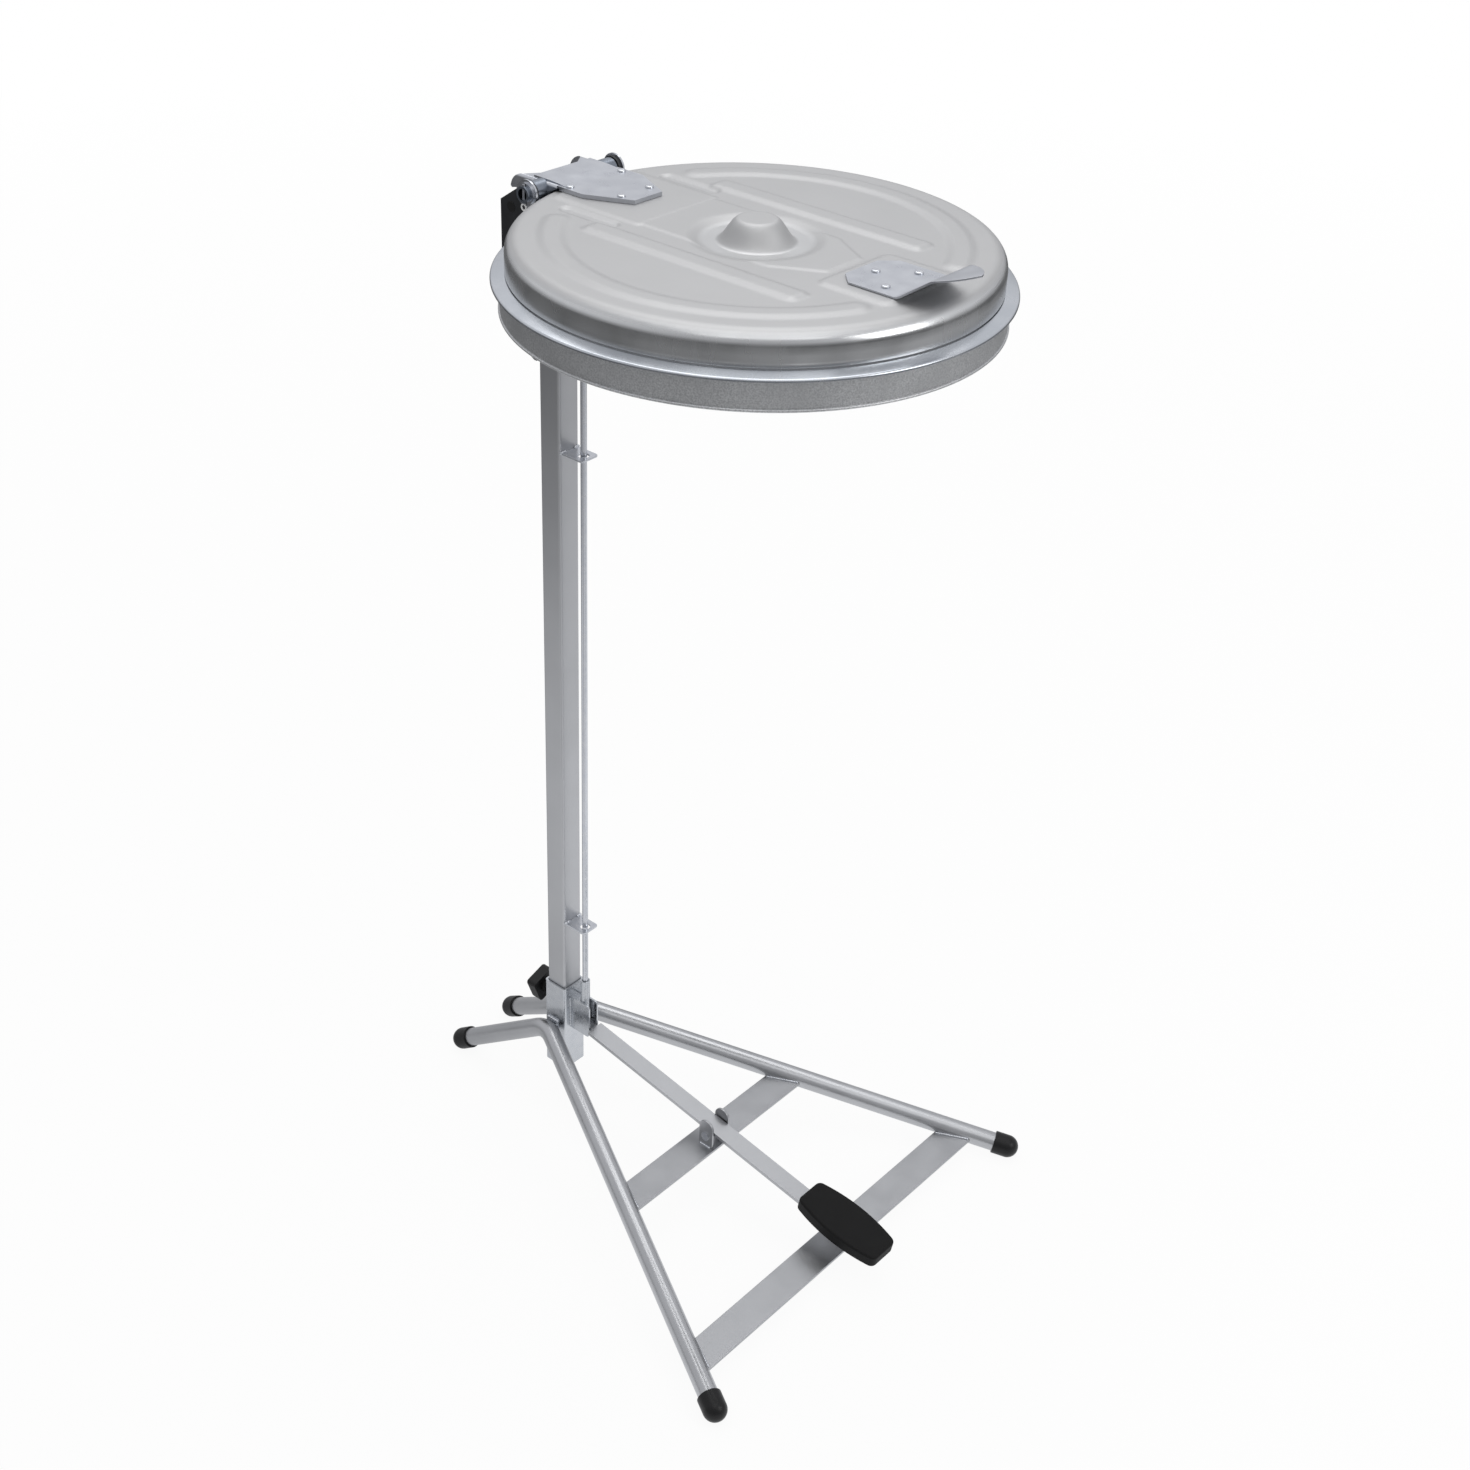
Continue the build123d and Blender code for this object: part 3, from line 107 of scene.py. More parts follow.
FLOOR_RADIUS = 14.0
ZONE_METRES = 0.9
BRIGHT_SPOT = (0.2, -0.7, 0.0)
BRIGHT_SPOT_RADIUS = 0.7
FADED_RADIUS = 3.2
SHADOW_RADIUS = 0.6
ALL_WHITE_RADIUS = 4.0
paper, tree = new_material("white_paper_floor")
rays = add_node(tree, "ShaderNodeLightPath", {})
place = add_node(tree, "ShaderNodeTexCoord", {})
zones = add_node(tree, "ShaderNodeTexNoise", {
    "Vector": place.outputs["Object"], "Scale": 1 / ZONE_METRES, "Detail": 1.0, "Roughness": 0.4,
})
zone_tone = add_node(tree, "ShaderNodeMapRange", {
    "Value": zones.outputs["Fac"], "From Min": 0.38, "From Max": 0.60,
    "To Min": 0.70, "To Max": 1.15,
}, interpolation_type="SMOOTHSTEP")
away = add_node(tree, "ShaderNodeVectorMath", {
    0: place.outputs["Object"], 1: BRIGHT_SPOT,
}, operation="DISTANCE")
fading = add_node(tree, "ShaderNodeMapRange", {
    "Value": away.outputs["Value"], "From Min": BRIGHT_SPOT_RADIUS, "From Max": FADED_RADIUS,
    "To Min": 0.86, "To Max": 0.15,
}, interpolation_type="SMOOTHSTEP")
floor_tone = add_node(tree, "ShaderNodeMath", {
    0: zone_tone.outputs[0], 1: fading.outputs[0],
}, operation="MULTIPLY")
mirrored = add_node(tree, "ShaderNodeEmission", {
    "Color": colour("#fbfcff"), "Strength": floor_tone.outputs[0],
})
plain = add_node(tree, "ShaderNodeEmission", {"Color": colour("#ffffff"), "Strength": 1.0})
matt = add_node(tree, "ShaderNodeBsdfDiffuse", {"Color": colour("#f2f2f2")})
from_post = add_node(tree, "ShaderNodeVectorMath", {
    0: place.outputs["Object"],
}, operation="LENGTH")
white_share = add_node(tree, "ShaderNodeMapRange", {
    "Value": from_post.outputs["Value"], "From Min": SHADOW_RADIUS, "From Max": ALL_WHITE_RADIUS,
    "To Min": 0.93, "To Max": 1.0,
})
lit = add_node(tree, "ShaderNodeMixShader", {
    0: white_share.outputs[0], 1: matt.outputs[0], 2: plain.outputs[0],
})
by_camera = add_node(tree, "ShaderNodeMixShader", {
    0: rays.outputs["Is Camera Ray"], 1: matt.outputs[0], 2: lit.outputs[0],
})
clear = add_node(tree, "ShaderNodeMixShader", {
    0: rays.outputs["Is Transmission Ray"], 1: by_camera.outputs[0], 2: plain.outputs[0],
})
by_gloss = add_node(tree, "ShaderNodeMixShader", {
    0: rays.outputs["Is Glossy Ray"], 1: clear.outputs[0], 2: mirrored.outputs[0],
})
add_node(tree, "ShaderNodeOutputMaterial", {"Surface": by_gloss.outputs[0]})

deselect_all()
bpy.ops.mesh.primitive_circle_add(vertices=96, radius=FLOOR_RADIUS, fill_type="NGON")
floor = bpy.context.object
floor.name = "floor"
floor.data.materials.append(paper)

TOWARDS_CAMERA = (-0.7, -0.7, 0.0)
world = bpy.data.worlds.new("pale_studio_room")
bpy.context.scene.world = world
world.use_nodes = True
tree = world.node_tree
tree.nodes.clear()
rays = add_node(tree, "ShaderNodeLightPath", {})
place = add_node(tree, "ShaderNodeTexCoord", {})
way = add_node(tree, "ShaderNodeSeparateXYZ", {"Vector": place.outputs["Generated"]})
rise = add_node(tree, "ShaderNodeMapRange", {
    "Value": way.outputs["Z"], "From Min": 0.0, "From Max": 0.30,
    "To Min": 0.42, "To Max": 0.80,
}, interpolation_type="SMOOTHSTEP")
facing = add_node(tree, "ShaderNodeVectorMath", {
    0: place.outputs["Generated"], 1: TOWARDS_CAMERA,
}, operation="DOT_PRODUCT")
behind_camera = add_node(tree, "ShaderNodeMapRange", {
    "Value": facing.outputs["Value"], "From Min": -0.2, "From Max": 0.9,
    "To Min": 1.0, "To Max": 0.66,
})
room_tone = add_node(tree, "ShaderNodeMath", {
    0: rise.outputs[0], 1: behind_camera.outputs[0],
}, operation="MULTIPLY")
room = add_node(tree, "ShaderNodeBackground", {
    "Color": colour("#fafbff"), "Strength": room_tone.outputs[0],
})
even = add_node(tree, "ShaderNodeBackground", {"Color": colour("#f2f2f2"), "Strength": 0.62})
white = add_node(tree, "ShaderNodeBackground", {"Color": colour("#ffffff"), "Strength": 1.0})
by_gloss = add_node(tree, "ShaderNodeMixShader", {
    0: rays.outputs["Is Glossy Ray"], 1: even.outputs[0], 2: room.outputs[0],
})
by_camera = add_node(tree, "ShaderNodeMixShader", {
    0: rays.outputs["Is Camera Ray"], 1: by_gloss.outputs[0], 2: white.outputs[0],
})
add_node(tree, "ShaderNodeOutputWorld", {"Surface": by_camera.outputs[0]})

for name, stand, aim, size, watts in (
    ("soft_box_above_lid", (0.5, 0.3, 2.9), (0.0, -0.2, 0.7), 2.0, 19.0),
    ("soft_box_above_pedal", (-0.7, -0.9, 2.9), (0.0, -0.2, 0.9), 2.0, 9.0),
    ("soft_box_front", (0.6, -2.7, 1.9), (0.0, -0.2, 0.5), 1.4, 16.0),
):
    bpy.ops.object.light_add(type="AREA", location=stand)
    lamp = bpy.context.object
    lamp.name = name
    lamp.data.size = size
    lamp.data.energy = watts
    lamp.rotation_euler = (Vector(stand) - Vector(aim)).to_track_quat("Z", "Y").to_euler()


# Legs: two bent round steel tubes, electroplated with bright zinc after bending. The plating
# is fine-grained and clouds a little, so the light runs along the tube in soft broken lines.
MM = 0.001
SAME_POINT_MM = 0.01


def round_edges(piece, edge):
    """Joins a piece's flat faces and rounds its edges by that many mm."""
    weld = piece.modifiers.new("merge_points", "WELD")
    weld.merge_threshold = SAME_POINT_MM * MM
    flat = piece.modifiers.new("join_flat_faces", "DECIMATE")
    flat.decimate_type = "DISSOLVE"
    flat.angle_limit = math.radians(0.4)
    worn = piece.modifiers.new("worn_edge", "BEVEL")
    worn.width = edge * MM
    worn.segments = 2
    worn.limit_method = "ANGLE"
    worn.angle_limit = math.radians(35)
    worn.use_clamp_overlap = True
    even_faces = piece.modifiers.new("flat_faces_stay_flat", "WEIGHTED_NORMAL")
    even_faces.weight = 90


def dress(names, material, edge=0.0):
    """Gives CAD nodes their material and, where edge is set, rounded edges."""
    for name in names:
        piece = nodes[name]
        piece.data.materials.clear()
        piece.data.materials.append(material)
        if edge:
            round_edges(piece, edge)


TUBE_CLOUD_MM = 45.0
TUBE_GRAIN_MM = 1.4
tube_zinc, tree = new_material("bright_zinc_plated_tube")
place = add_node(tree, "ShaderNodeTexCoord", {})
clouds = add_node(tree, "ShaderNodeTexNoise", {
    "Vector": place.outputs["Object"], "Scale": 1 / (TUBE_CLOUD_MM * MM), "Detail": 3.0,
})
grain = add_node(tree, "ShaderNodeTexNoise", {
    "Vector": place.outputs["Object"], "Scale": 1 / (TUBE_GRAIN_MM * MM), "Detail": 2.0,
})
tone = add_node(tree, "ShaderNodeMix", {
    "Factor": clouds.outputs["Fac"], 6: colour("#a9aaac"), 7: colour("#bfc0c2"),
}, data_type="RGBA")
gloss = add_node(tree, "ShaderNodeMapRange", {
    "Value": clouds.outputs["Fac"], "From Min": 0.3, "From Max": 0.7,
    "To Min": 0.27, "To Max": 0.36,
})
bump = add_node(tree, "ShaderNodeBump", {
    "Height": grain.outputs["Fac"], "Strength": 0.3, "Distance": 0.05 * MM,
})
skin = add_node(tree, "ShaderNodeBsdfPrincipled", {
    "Base Color": tone.outputs[2], "Metallic": 1.0, "Roughness": gloss.outputs[0],
    "Normal": bump.outputs[0],
})
add_node(tree, "ShaderNodeOutputMaterial", {"Surface": skin.outputs[0]})
dress(("leg_left", "leg_right"), tube_zinc)

# Foot caps: soft black plastic sockets pushed on the tube ends, moulded with a fine matt grain.
# They shine a little where the rim turns.
CAP_GRAIN_MM = 1.2
cap_plastic, tree = new_material("moulded_black_pvc")
place = add_node(tree, "ShaderNodeTexCoord", {})
grain = add_node(tree, "ShaderNodeTexNoise", {
    "Vector": place.outputs["Object"], "Scale": 1 / (CAP_GRAIN_MM * MM), "Detail": 3.0,
})
tone = add_node(tree, "ShaderNodeMix", {
    "Factor": grain.outputs["Fac"], 6: colour("#0b0b0c"), 7: colour("#141415"),
}, data_type="RGBA")
bump = add_node(tree, "ShaderNodeBump", {
    "Height": grain.outputs["Fac"], "Strength": 0.35, "Distance": 0.06 * MM,
})
skin = add_node(tree, "ShaderNodeBsdfPrincipled", {
    "Base Color": tone.outputs[2], "Roughness": 0.38, "Normal": bump.outputs[0], "IOR": 1.5,
    "Specular IOR Level": 0.3,
})
add_node(tree, "ShaderNodeOutputMaterial", {"Surface": skin.outputs[0]})
caps = [f"cap_{end}_{side}" for end in ("front", "rear") for side in ("left", "right")]
dress(caps, cap_plastic)

# Cross bars and pivot ears: flat steel with sheared edges, zinc plated like the legs. The
# rolled face is less glossy than the tube, with faint clouds along the bar.
BAR_CLOUD_MM = 28.0
BAR_GRAIN_MM = 0.9
flat_zinc, tree = new_material("zinc_plated_flat_steel")
place = add_node(tree, "ShaderNodeTexCoord", {})
clouds = add_node(tree, "ShaderNodeTexNoise", {
    "Vector": place.outputs["Object"], "Scale": 1 / (BAR_CLOUD_MM * MM), "Detail": 4.0,
})
grain = add_node(tree, "ShaderNodeTexNoise", {
    "Vector": place.outputs["Object"], "Scale": 1 / (BAR_GRAIN_MM * MM), "Detail": 2.0,
})
tone = add_node(tree, "ShaderNodeMix", {
    "Factor": clouds.outputs["Fac"], 6: colour("#a2a3a5"), 7: colour("#b5b6b8"),
}, data_type="RGBA")
gloss = add_node(tree, "ShaderNodeMapRange", {
    "Value": clouds.outputs["Fac"], "From Min": 0.3, "From Max": 0.7,
    "To Min": 0.30, "To Max": 0.42,
})
bump = add_node(tree, "ShaderNodeBump", {
    "Height": grain.outputs["Fac"], "Strength": 0.25, "Distance": 0.04 * MM,
})
skin = add_node(tree, "ShaderNodeBsdfPrincipled", {
    "Base Color": tone.outputs[2], "Metallic": 1.0, "Roughness": gloss.outputs[0],
    "Normal": bump.outputs[0],
})
add_node(tree, "ShaderNodeOutputMaterial", {"Surface": skin.outputs[0]})
dress(("cross_bar_front", "cross_bar_rear"), flat_zinc, 0.5)
dress(("pivot_ear_left", "pivot_ear_right"), flat_zinc, 0.4)

# Post: drawn square steel tube with rounded corners, zinc plated. Fine drawing lines run along
# it, and its faces are plane enough to mirror the room in long soft bands.
POST_CLOUD_MM = 70.0
POST_LINE_MM = 1.0
post_zinc, tree = new_material("zinc_plated_square_tube")
place = add_node(tree, "ShaderNodeTexCoord", {})
clouds = add_node(tree, "ShaderNodeTexNoise", {
    "Vector": place.outputs["Object"], "Scale": 1 / (POST_CLOUD_MM * MM), "Detail": 3.0,
})
drawn = add_node(tree, "ShaderNodeMapping", {
    "Vector": place.outputs["Object"], "Scale": (1.0, 1.0, 0.02),
})
lines = add_node(tree, "ShaderNodeTexNoise", {
    "Vector": drawn.outputs[0], "Scale": 1 / (POST_LINE_MM * MM), "Detail": 2.0,
})
tone = add_node(tree, "ShaderNodeMix", {
    "Factor": clouds.outputs["Fac"], 6: colour("#b2b3b5"), 7: colour("#c4c5c7"),
}, data_type="RGBA")
bump = add_node(tree, "ShaderNodeBump", {
    "Height": lines.outputs["Fac"], "Strength": 0.25, "Distance": 0.04 * MM,
})
skin = add_node(tree, "ShaderNodeBsdfPrincipled", {
    "Base Color": tone.outputs[2], "Metallic": 1.0, "Roughness": 0.36, "Normal": bump.outputs[0],
})
add_node(tree, "ShaderNodeOutputMaterial", {"Surface": skin.outputs[0]})
dress(("post",), post_zinc)

# Sleeve and rod guide tube: thicker welded steel, zinc plated over a rougher face. The plating
# is bright and uneven, with a blue tint in its darker spots.
SLEEVE_SPOT_MM = 9.0
SLEEVE_RIPPLE_MM = 14.0
sleeve_zinc, tree = new_material("bright_mottled_zinc")
place = add_node(tree, "ShaderNodeTexCoord", {})
spots = add_node(tree, "ShaderNodeTexNoise", {
    "Vector": place.outputs["Object"], "Scale": 1 / (SLEEVE_SPOT_MM * MM), "Detail": 4.0,
})
ripple = add_node(tree, "ShaderNodeTexNoise", {
    "Vector": place.outputs["Object"], "Scale": 1 / (SLEEVE_RIPPLE_MM * MM), "Detail": 1.0,
})
tone = add_node(tree, "ShaderNodeMix", {
    "Factor": spots.outputs["Fac"], 6: colour("#b4b8be"), 7: colour("#d4d6d8"),
}, data_type="RGBA")
gloss = add_node(tree, "ShaderNodeMapRange", {
    "Value": spots.outputs["Fac"], "From Min": 0.35, "From Max": 0.65,
    "To Min": 0.18, "To Max": 0.34,
})
bump = add_node(tree, "ShaderNodeBump", {
    "Height": ripple.outputs["Fac"], "Strength": 0.35, "Distance": 0.5 * MM,
})
skin = add_node(tree, "ShaderNodeBsdfPrincipled", {
    "Base Color": tone.outputs[2], "Metallic": 1.0, "Roughness": gloss.outputs[0],
    "Normal": bump.outputs[0],
})
add_node(tree, "ShaderNodeOutputMaterial", {"Surface": skin.outputs[0]})
dress(("sleeve", "rod_guide_tube"), sleeve_zinc)

# Fasteners, push rod and small turned pieces: bright zinc nuts, bolts, pins, washers and rivets,
# passivated after plating. They are glossy and a little bluish.
FASTENER_CLOUD_MM = 5.0
bright_zinc, tree = new_material("bright_blue_passivated_zinc")
place = add_node(tree, "ShaderNodeTexCoord", {})
clouds = add_node(tree, "ShaderNodeTexNoise", {
    "Vector": place.outputs["Object"], "Scale": 1 / (FASTENER_CLOUD_MM * MM), "Detail": 3.0,
})
tone = add_node(tree, "ShaderNodeMix", {
    "Factor": clouds.outputs["Fac"], 6: colour("#bcc0c8"), 7: colour("#dcdddf"),
}, data_type="RGBA")
gloss = add_node(tree, "ShaderNodeMapRange", {
    "Value": clouds.outputs["Fac"], "From Min": 0.3, "From Max": 0.7,
    "To Min": 0.16, "To Max": 0.28,
})
skin = add_node(tree, "ShaderNodeBsdfPrincipled", {
    "Base Color": tone.outputs[2], "Metallic": 1.0, "Roughness": gloss.outputs[0],
})
add_node(tree, "ShaderNodeOutputMaterial", {"Surface": skin.outputs[0]})
dress((
    "bracket_bolts", "clamp_nut", "clamp_screw", "pad_screws", "pivot_pin", "pedal_hub",
    "push_rod", "rod_head", "hinge_washer_left", "hinge_washer_right", "hinge_rivets",
    "handle_rivets", "lift_cheek_left", "lift_cheek_right", "lift_roller",
), bright_zinc)

# Guide lugs: two thin tabs of zinc plated steel, welded flat to the front of the post. They have
# rounded front corners and a roomy hole that keeps the push rod upright.
LUG_LEVELS = (("lower", 229.0), ("upper", 767.0))
LUG_HALF_WIDTH = 11.0
LUG_ROOT = -12.5
LUG_FRONT = -39.5
LUG_SHEET = 2.0
LUG_CORNER = 3.5
LUG_HOLE_RADIUS = 5.2
LUG_SEAM_STARTS = ((-1, 6.0), (1, 7.0))
LUG_SEAM_RADIUS = 1.5
ROD_Y = -31.0


def cut(piece, cutter):
    """Cuts one object with another, which goes away."""
    made = piece.modifiers.new("cut", "BOOLEAN")
    made.operation = "DIFFERENCE"
    made.object = cutter
    made.solver = "EXACT"
    deselect_all()
    bpy.context.view_layer.objects.active = piece
    piece.select_set(True)
    bpy.ops.object.modifier_apply(modifier=made.name)
    bpy.data.objects.remove(cutter)


def add_block(low, high):
    """A box between two corners in mm."""
    deselect_all()
    low, high = Vector(low), Vector(high)
    bpy.ops.mesh.primitive_cube_add(
        size=1, location=(low + high) / 2 * MM, scale=(high - low) * MM,
    )
    return bpy.context.object


def drill(piece, y, level, radius):
    """Drills an upright hole through a piece, on the middle plane of the holder."""
    deselect_all()
    bpy.ops.mesh.primitive_cylinder_add(
        vertices=40, radius=radius * MM, depth=20 * MM, location=(0, y * MM, level * MM),
    )
    cut(piece, bpy.context.object)


def empty_mesh(name, material):
    """A new object at the origin, open in edit mode, that primitives are added to."""
    deselect_all()
    made = bpy.data.objects.new(name, bpy.data.meshes.new(name))
    bpy.context.collection.objects.link(made)
    made.data.materials.append(material)
    bpy.context.view_layer.objects.active = made
    made.select_set(True)
    bpy.ops.object.mode_set(mode="EDIT")
    return made


def weld_bead(name, runs, material, radius, body):
    """Beads of overlapping drops along straight runs, each from one point to another in mm.

    The drops stand less than half a radius apart, and swell and shrink a little along the run.
    """
    bead = empty_mesh(name, material)
    for start, end in runs:
        start, end = Vector(start), Vector(end)
        drops = max(1, round((end - start).length / (0.45 * radius)))
        for step in range(drops + 1):
            size = radius * (1 + 0.12 * math.sin(1.3 * step + start.x))
            bpy.ops.mesh.primitive_uv_sphere_add(
                segments=14, ring_count=8, radius=size * MM,
                location=start.lerp(end, step / drops) * MM,
            )
    bpy.ops.object.mode_set(mode="OBJECT")
    bpy.ops.object.shade_smooth()
    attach(bead, body)


def cut_sheet(name, low, high, corner, material):
    """A flat piece of sheet between two corners in mm, with its two front corners rounded."""
    sheet = add_block(low, high)
    sheet.name = name
    bpy.ops.object.transform_apply(location=True, rotation=True, scale=True)
    spans = Vector(high) - Vector(low)
    through = min(range(3), key=lambda axis: spans[axis])
    mesh = bmesh.new()
    mesh.from_mesh(sheet.data)
    corners = [
        edge for edge in mesh.edges
        if all(vertex.co.y < (low[1] + 0.1) * MM for vertex in edge.verts)
        and abs(edge.verts[0].co[through] - edge.verts[1].co[through]) > spans[through] / 2 * MM
    ]
    bmesh.ops.bevel(
        mesh, geom=corners, offset=corner * MM, segments=6, profile=0.5, affect="EDGES",
    )
    mesh.to_mesh(sheet.data)
    mesh.free()
    sheet.data.materials.append(material)
    return sheet


seam_y = LUG_ROOT - 0.4
for name, under in LUG_LEVELS:
    over = under + LUG_SHEET
    tab = cut_sheet(
        f"guide_tab_{name}", (-LUG_HALF_WIDTH, LUG_FRONT, under),
        (LUG_HALF_WIDTH, LUG_ROOT, over), LUG_CORNER, bright_zinc,
    )
    drill(tab, ROD_Y, under, LUG_HOLE_RADIUS)
    round_edges(tab, 0.35)
    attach(tab, "stand")
    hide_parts(f"guide_lug_{name}")
    weld_bead(f"guide_tab_weld_{name}", [
        ((side * start, seam_y, over), (side * LUG_HALF_WIDTH, seam_y, over))
        for side, start in LUG_SEAM_STARTS
    ], bright_zinc, LUG_SEAM_RADIUS, "stand")

# Lever bracket: two narrow cheeks of sheet welded to the front of the sleeve. The guide tube of
# the rod stands between them, and the tongue of the lever works in the slot below it.
CHEEK_INNER = 5.0
CHEEK_SHEET = 2.0
CHEEK_FRONT = -43.0
CHEEK_BOTTOM = 90.0
CHEEK_TOP = 132.0
CHEEK_CORNER = 4.0
SLEEVE_FRONT = -15.0
WEB_FRONT = -27.0
WEB_BOTTOM = 126.0
WEB_TOP = 131.0
WEB_CORNER = 0.1
BRACKET_SEAM_X = 7.2
BRACKET_SEAM_BOTTOM = 93.0
BRACKET_SEAM_TOP = 129.0
BRACKET_SEAM_RADIUS = 1.0
bracket_parts = []
for side in (-1, 1):
    low_x, high_x = sorted((side * CHEEK_INNER, side * (CHEEK_INNER + CHEEK_SHEET)))
    bracket_parts.append(cut_sheet(
        "bracket_cheek", (low_x, CHEEK_FRONT, CHEEK_BOTTOM),
        (high_x, SLEEVE_FRONT, CHEEK_TOP), CHEEK_CORNER, sleeve_zinc,
    ))
bracket_parts.append(cut_sheet(
    "bracket_web", (-CHEEK_INNER, WEB_FRONT, WEB_BOTTOM), (CHEEK_INNER, SLEEVE_FRONT, WEB_TOP),
    WEB_CORNER, sleeve_zinc,
))
deselect_all()
for piece in bracket_parts:
    piece.select_set(True)
bpy.context.view_layer.objects.active = bracket_parts[0]
bpy.ops.object.join()
bracket = bpy.context.object
bracket.name = "lever_bracket_cheeks"
round_edges(bracket, 0.4)
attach(bracket, "stand")
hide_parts("lever_bracket")
seam_y = SLEEVE_FRONT - 0.2
weld_bead("bracket_weld", [
    ((side * BRACKET_SEAM_X, seam_y, BRACKET_SEAM_BOTTOM),
     (side * BRACKET_SEAM_X, seam_y, BRACKET_SEAM_TOP))
    for side in (-1, 1)
], sleeve_zinc, BRACKET_SEAM_RADIUS, "stand")

# Pedal lever: the flat bar from the pedal narrows to a tongue at its rear end, which reaches
# through the bracket under the foot of the push rod.
TONGUE_HALF_WIDTH = 4.0
TONGUE_START = CHEEK_FRONT - 1.5
WASTE_WIDTH = 20.0
WASTE_LENGTH = 40.0
WASTE_DEPTH = 100.0
WASTE_LEVEL = 100.0
lever = bpy.data.objects.new("lever_bar", nodes["pedal_lever"].data.copy())
bpy.context.collection.objects.link(lever)
lever.data.materials.clear()
lever.data.materials.append(flat_zinc)
for side in (-1, 1):
    deselect_all()
    bpy.ops.mesh.primitive_cube_add(
        size=1,
        location=(
            side * (TONGUE_HALF_WIDTH + WASTE_WIDTH / 2) * MM,
            (TONGUE_START + WASTE_LENGTH / 2) * MM, WASTE_LEVEL * MM,
        ),
        scale=(WASTE_WIDTH * MM, WASTE_LENGTH * MM, WASTE_DEPTH * MM),
    )
    cut(lever, bpy.context.object)
round_edges(lever, 0.5)
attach(lever, "pedal")
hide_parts("pedal_lever")

# Weld beads: the plated seams that hold the legs to the sleeve, the cross bars to the legs and
# the pivot ears to the rear bar. They shine more than the steel beside them.
LEG_SEAM_X = 15.6
LEG_SEAM_FRONT = -4.0
LEG_SEAM_REAR = 9.0
LEG_SEAM_LEVELS = (86.8, 96.2)
LEG_SEAM_RADIUS = 1.5
LEG_BEND = Vector((24.0, 2.6))
LEG_SPREAD = 0.4934
LEG_INNER = 10.8
BARS = (("rear", -211.0, 51.1), ("front", -380.0, 19.9))
BAR_HALF_WIDTH = 15.0
BAR_SEAM_RISE = 0.4
EAR_SEAM_X = 13.8
EAR_SEAM_FRONT = -223.0
EAR_SEAM_REAR = -211.0
EAR_SEAM_LEVEL = 51.3
SEAM_RADIUS = 1.3
weld_bead("leg_weld", [
    ((side * LEG_SEAM_X, LEG_SEAM_FRONT, level), (side * LEG_SEAM_X, LEG_SEAM_REAR, level))
    for side in (-1, 1) for level in LEG_SEAM_LEVELS
], bright_zinc, LEG_SEAM_RADIUS, "stand")
for name, bar_y, bar_top in BARS:
    runs = []
    for side in (-1, 1):
        ends = []
        for y in (bar_y - BAR_HALF_WIDTH, bar_y + BAR_HALF_WIDTH):
            leg_x = LEG_BEND.x + (LEG_BEND.y - y) * LEG_SPREAD
            ends.append((side * (leg_x - LEG_INNER), y, bar_top + BAR_SEAM_RISE))
        runs.append(tuple(ends))
    weld_bead(f"bar_weld_{name}", runs, bright_zinc, SEAM_RADIUS, "stand")
weld_bead("ear_weld", [
    ((side * EAR_SEAM_X, EAR_SEAM_FRONT, EAR_SEAM_LEVEL),
     (side * EAR_SEAM_X, EAR_SEAM_REAR, EAR_SEAM_LEVEL))
    for side in (-1, 1)
], bright_zinc, SEAM_RADIUS, "stand")

# Split pins: each is a bent wire through the end of the hinge tube, in front of the washer. Its
# round eye hangs below the tube and its two ends are clipped short above it.
HINGE_Y = -17.4
PIN_X = 56.4
PIN_EYE_Z = 1009.6
PIN_EYE_RADIUS = 2.6
PIN_WIRE_RADIUS = 0.7
PIN_WIRE_APART = 0.6
PIN_TOP = 1029.0
shank_bottom = PIN_EYE_Z + PIN_EYE_RADIUS - 0.3
pins = empty_mesh("split_pin_wires", bright_zinc)
for side in (-1, 1):
    bpy.ops.mesh.primitive_torus_add(
        location=(side * PIN_X * MM, HINGE_Y * MM, PIN_EYE_Z * MM), rotation=(0, math.pi / 2, 0),
        major_segments=28, minor_segments=12, major_radius=PIN_EYE_RADIUS * MM,
        minor_radius=PIN_WIRE_RADIUS * MM,
    )
    for beside in (-PIN_WIRE_APART, PIN_WIRE_APART):
        bpy.ops.mesh.primitive_cylinder_add(
            vertices=16, radius=PIN_WIRE_RADIUS * MM, depth=(PIN_TOP - shank_bottom) * MM,
            location=(
                side * PIN_X * MM, (HINGE_Y + beside) * MM, (PIN_TOP + shank_bottom) / 2 * MM,
            ),
        )
bpy.ops.object.mode_set(mode="OBJECT")
bpy.ops.object.shade_smooth_by_angle(angle=math.radians(40))
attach(pins, "stand")
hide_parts("split_pins")

# Clamp knob: a black moulded plastic grip on the screw behind the sleeve, with a rounded square
# outline and a low gloss.
KNOB_GRAIN_MM = 0.8
knob_plastic, tree = new_material("moulded_black_abs")
place = add_node(tree, "ShaderNodeTexCoord", {})
grain = add_node(tree, "ShaderNodeTexNoise", {
    "Vector": place.outputs["Object"], "Scale": 1 / (KNOB_GRAIN_MM * MM), "Detail": 2.0,
})
tone = add_node(tree, "ShaderNodeMix", {
    "Factor": grain.outputs["Fac"], 6: colour("#0f0f0f"), 7: colour("#181818"),
}, data_type="RGBA")
bump = add_node(tree, "ShaderNodeBump", {
    "Height": grain.outputs["Fac"], "Strength": 0.3, "Distance": 0.03 * MM,
})
skin = add_node(tree, "ShaderNodeBsdfPrincipled", {
    "Base Color": tone.outputs[2], "Roughness": 0.45, "Normal": bump.outputs[0], "IOR": 1.52,
    "Specular IOR Level": 0.3,
})
add_node(tree, "ShaderNodeOutputMaterial", {"Surface": skin.outputs[0]})
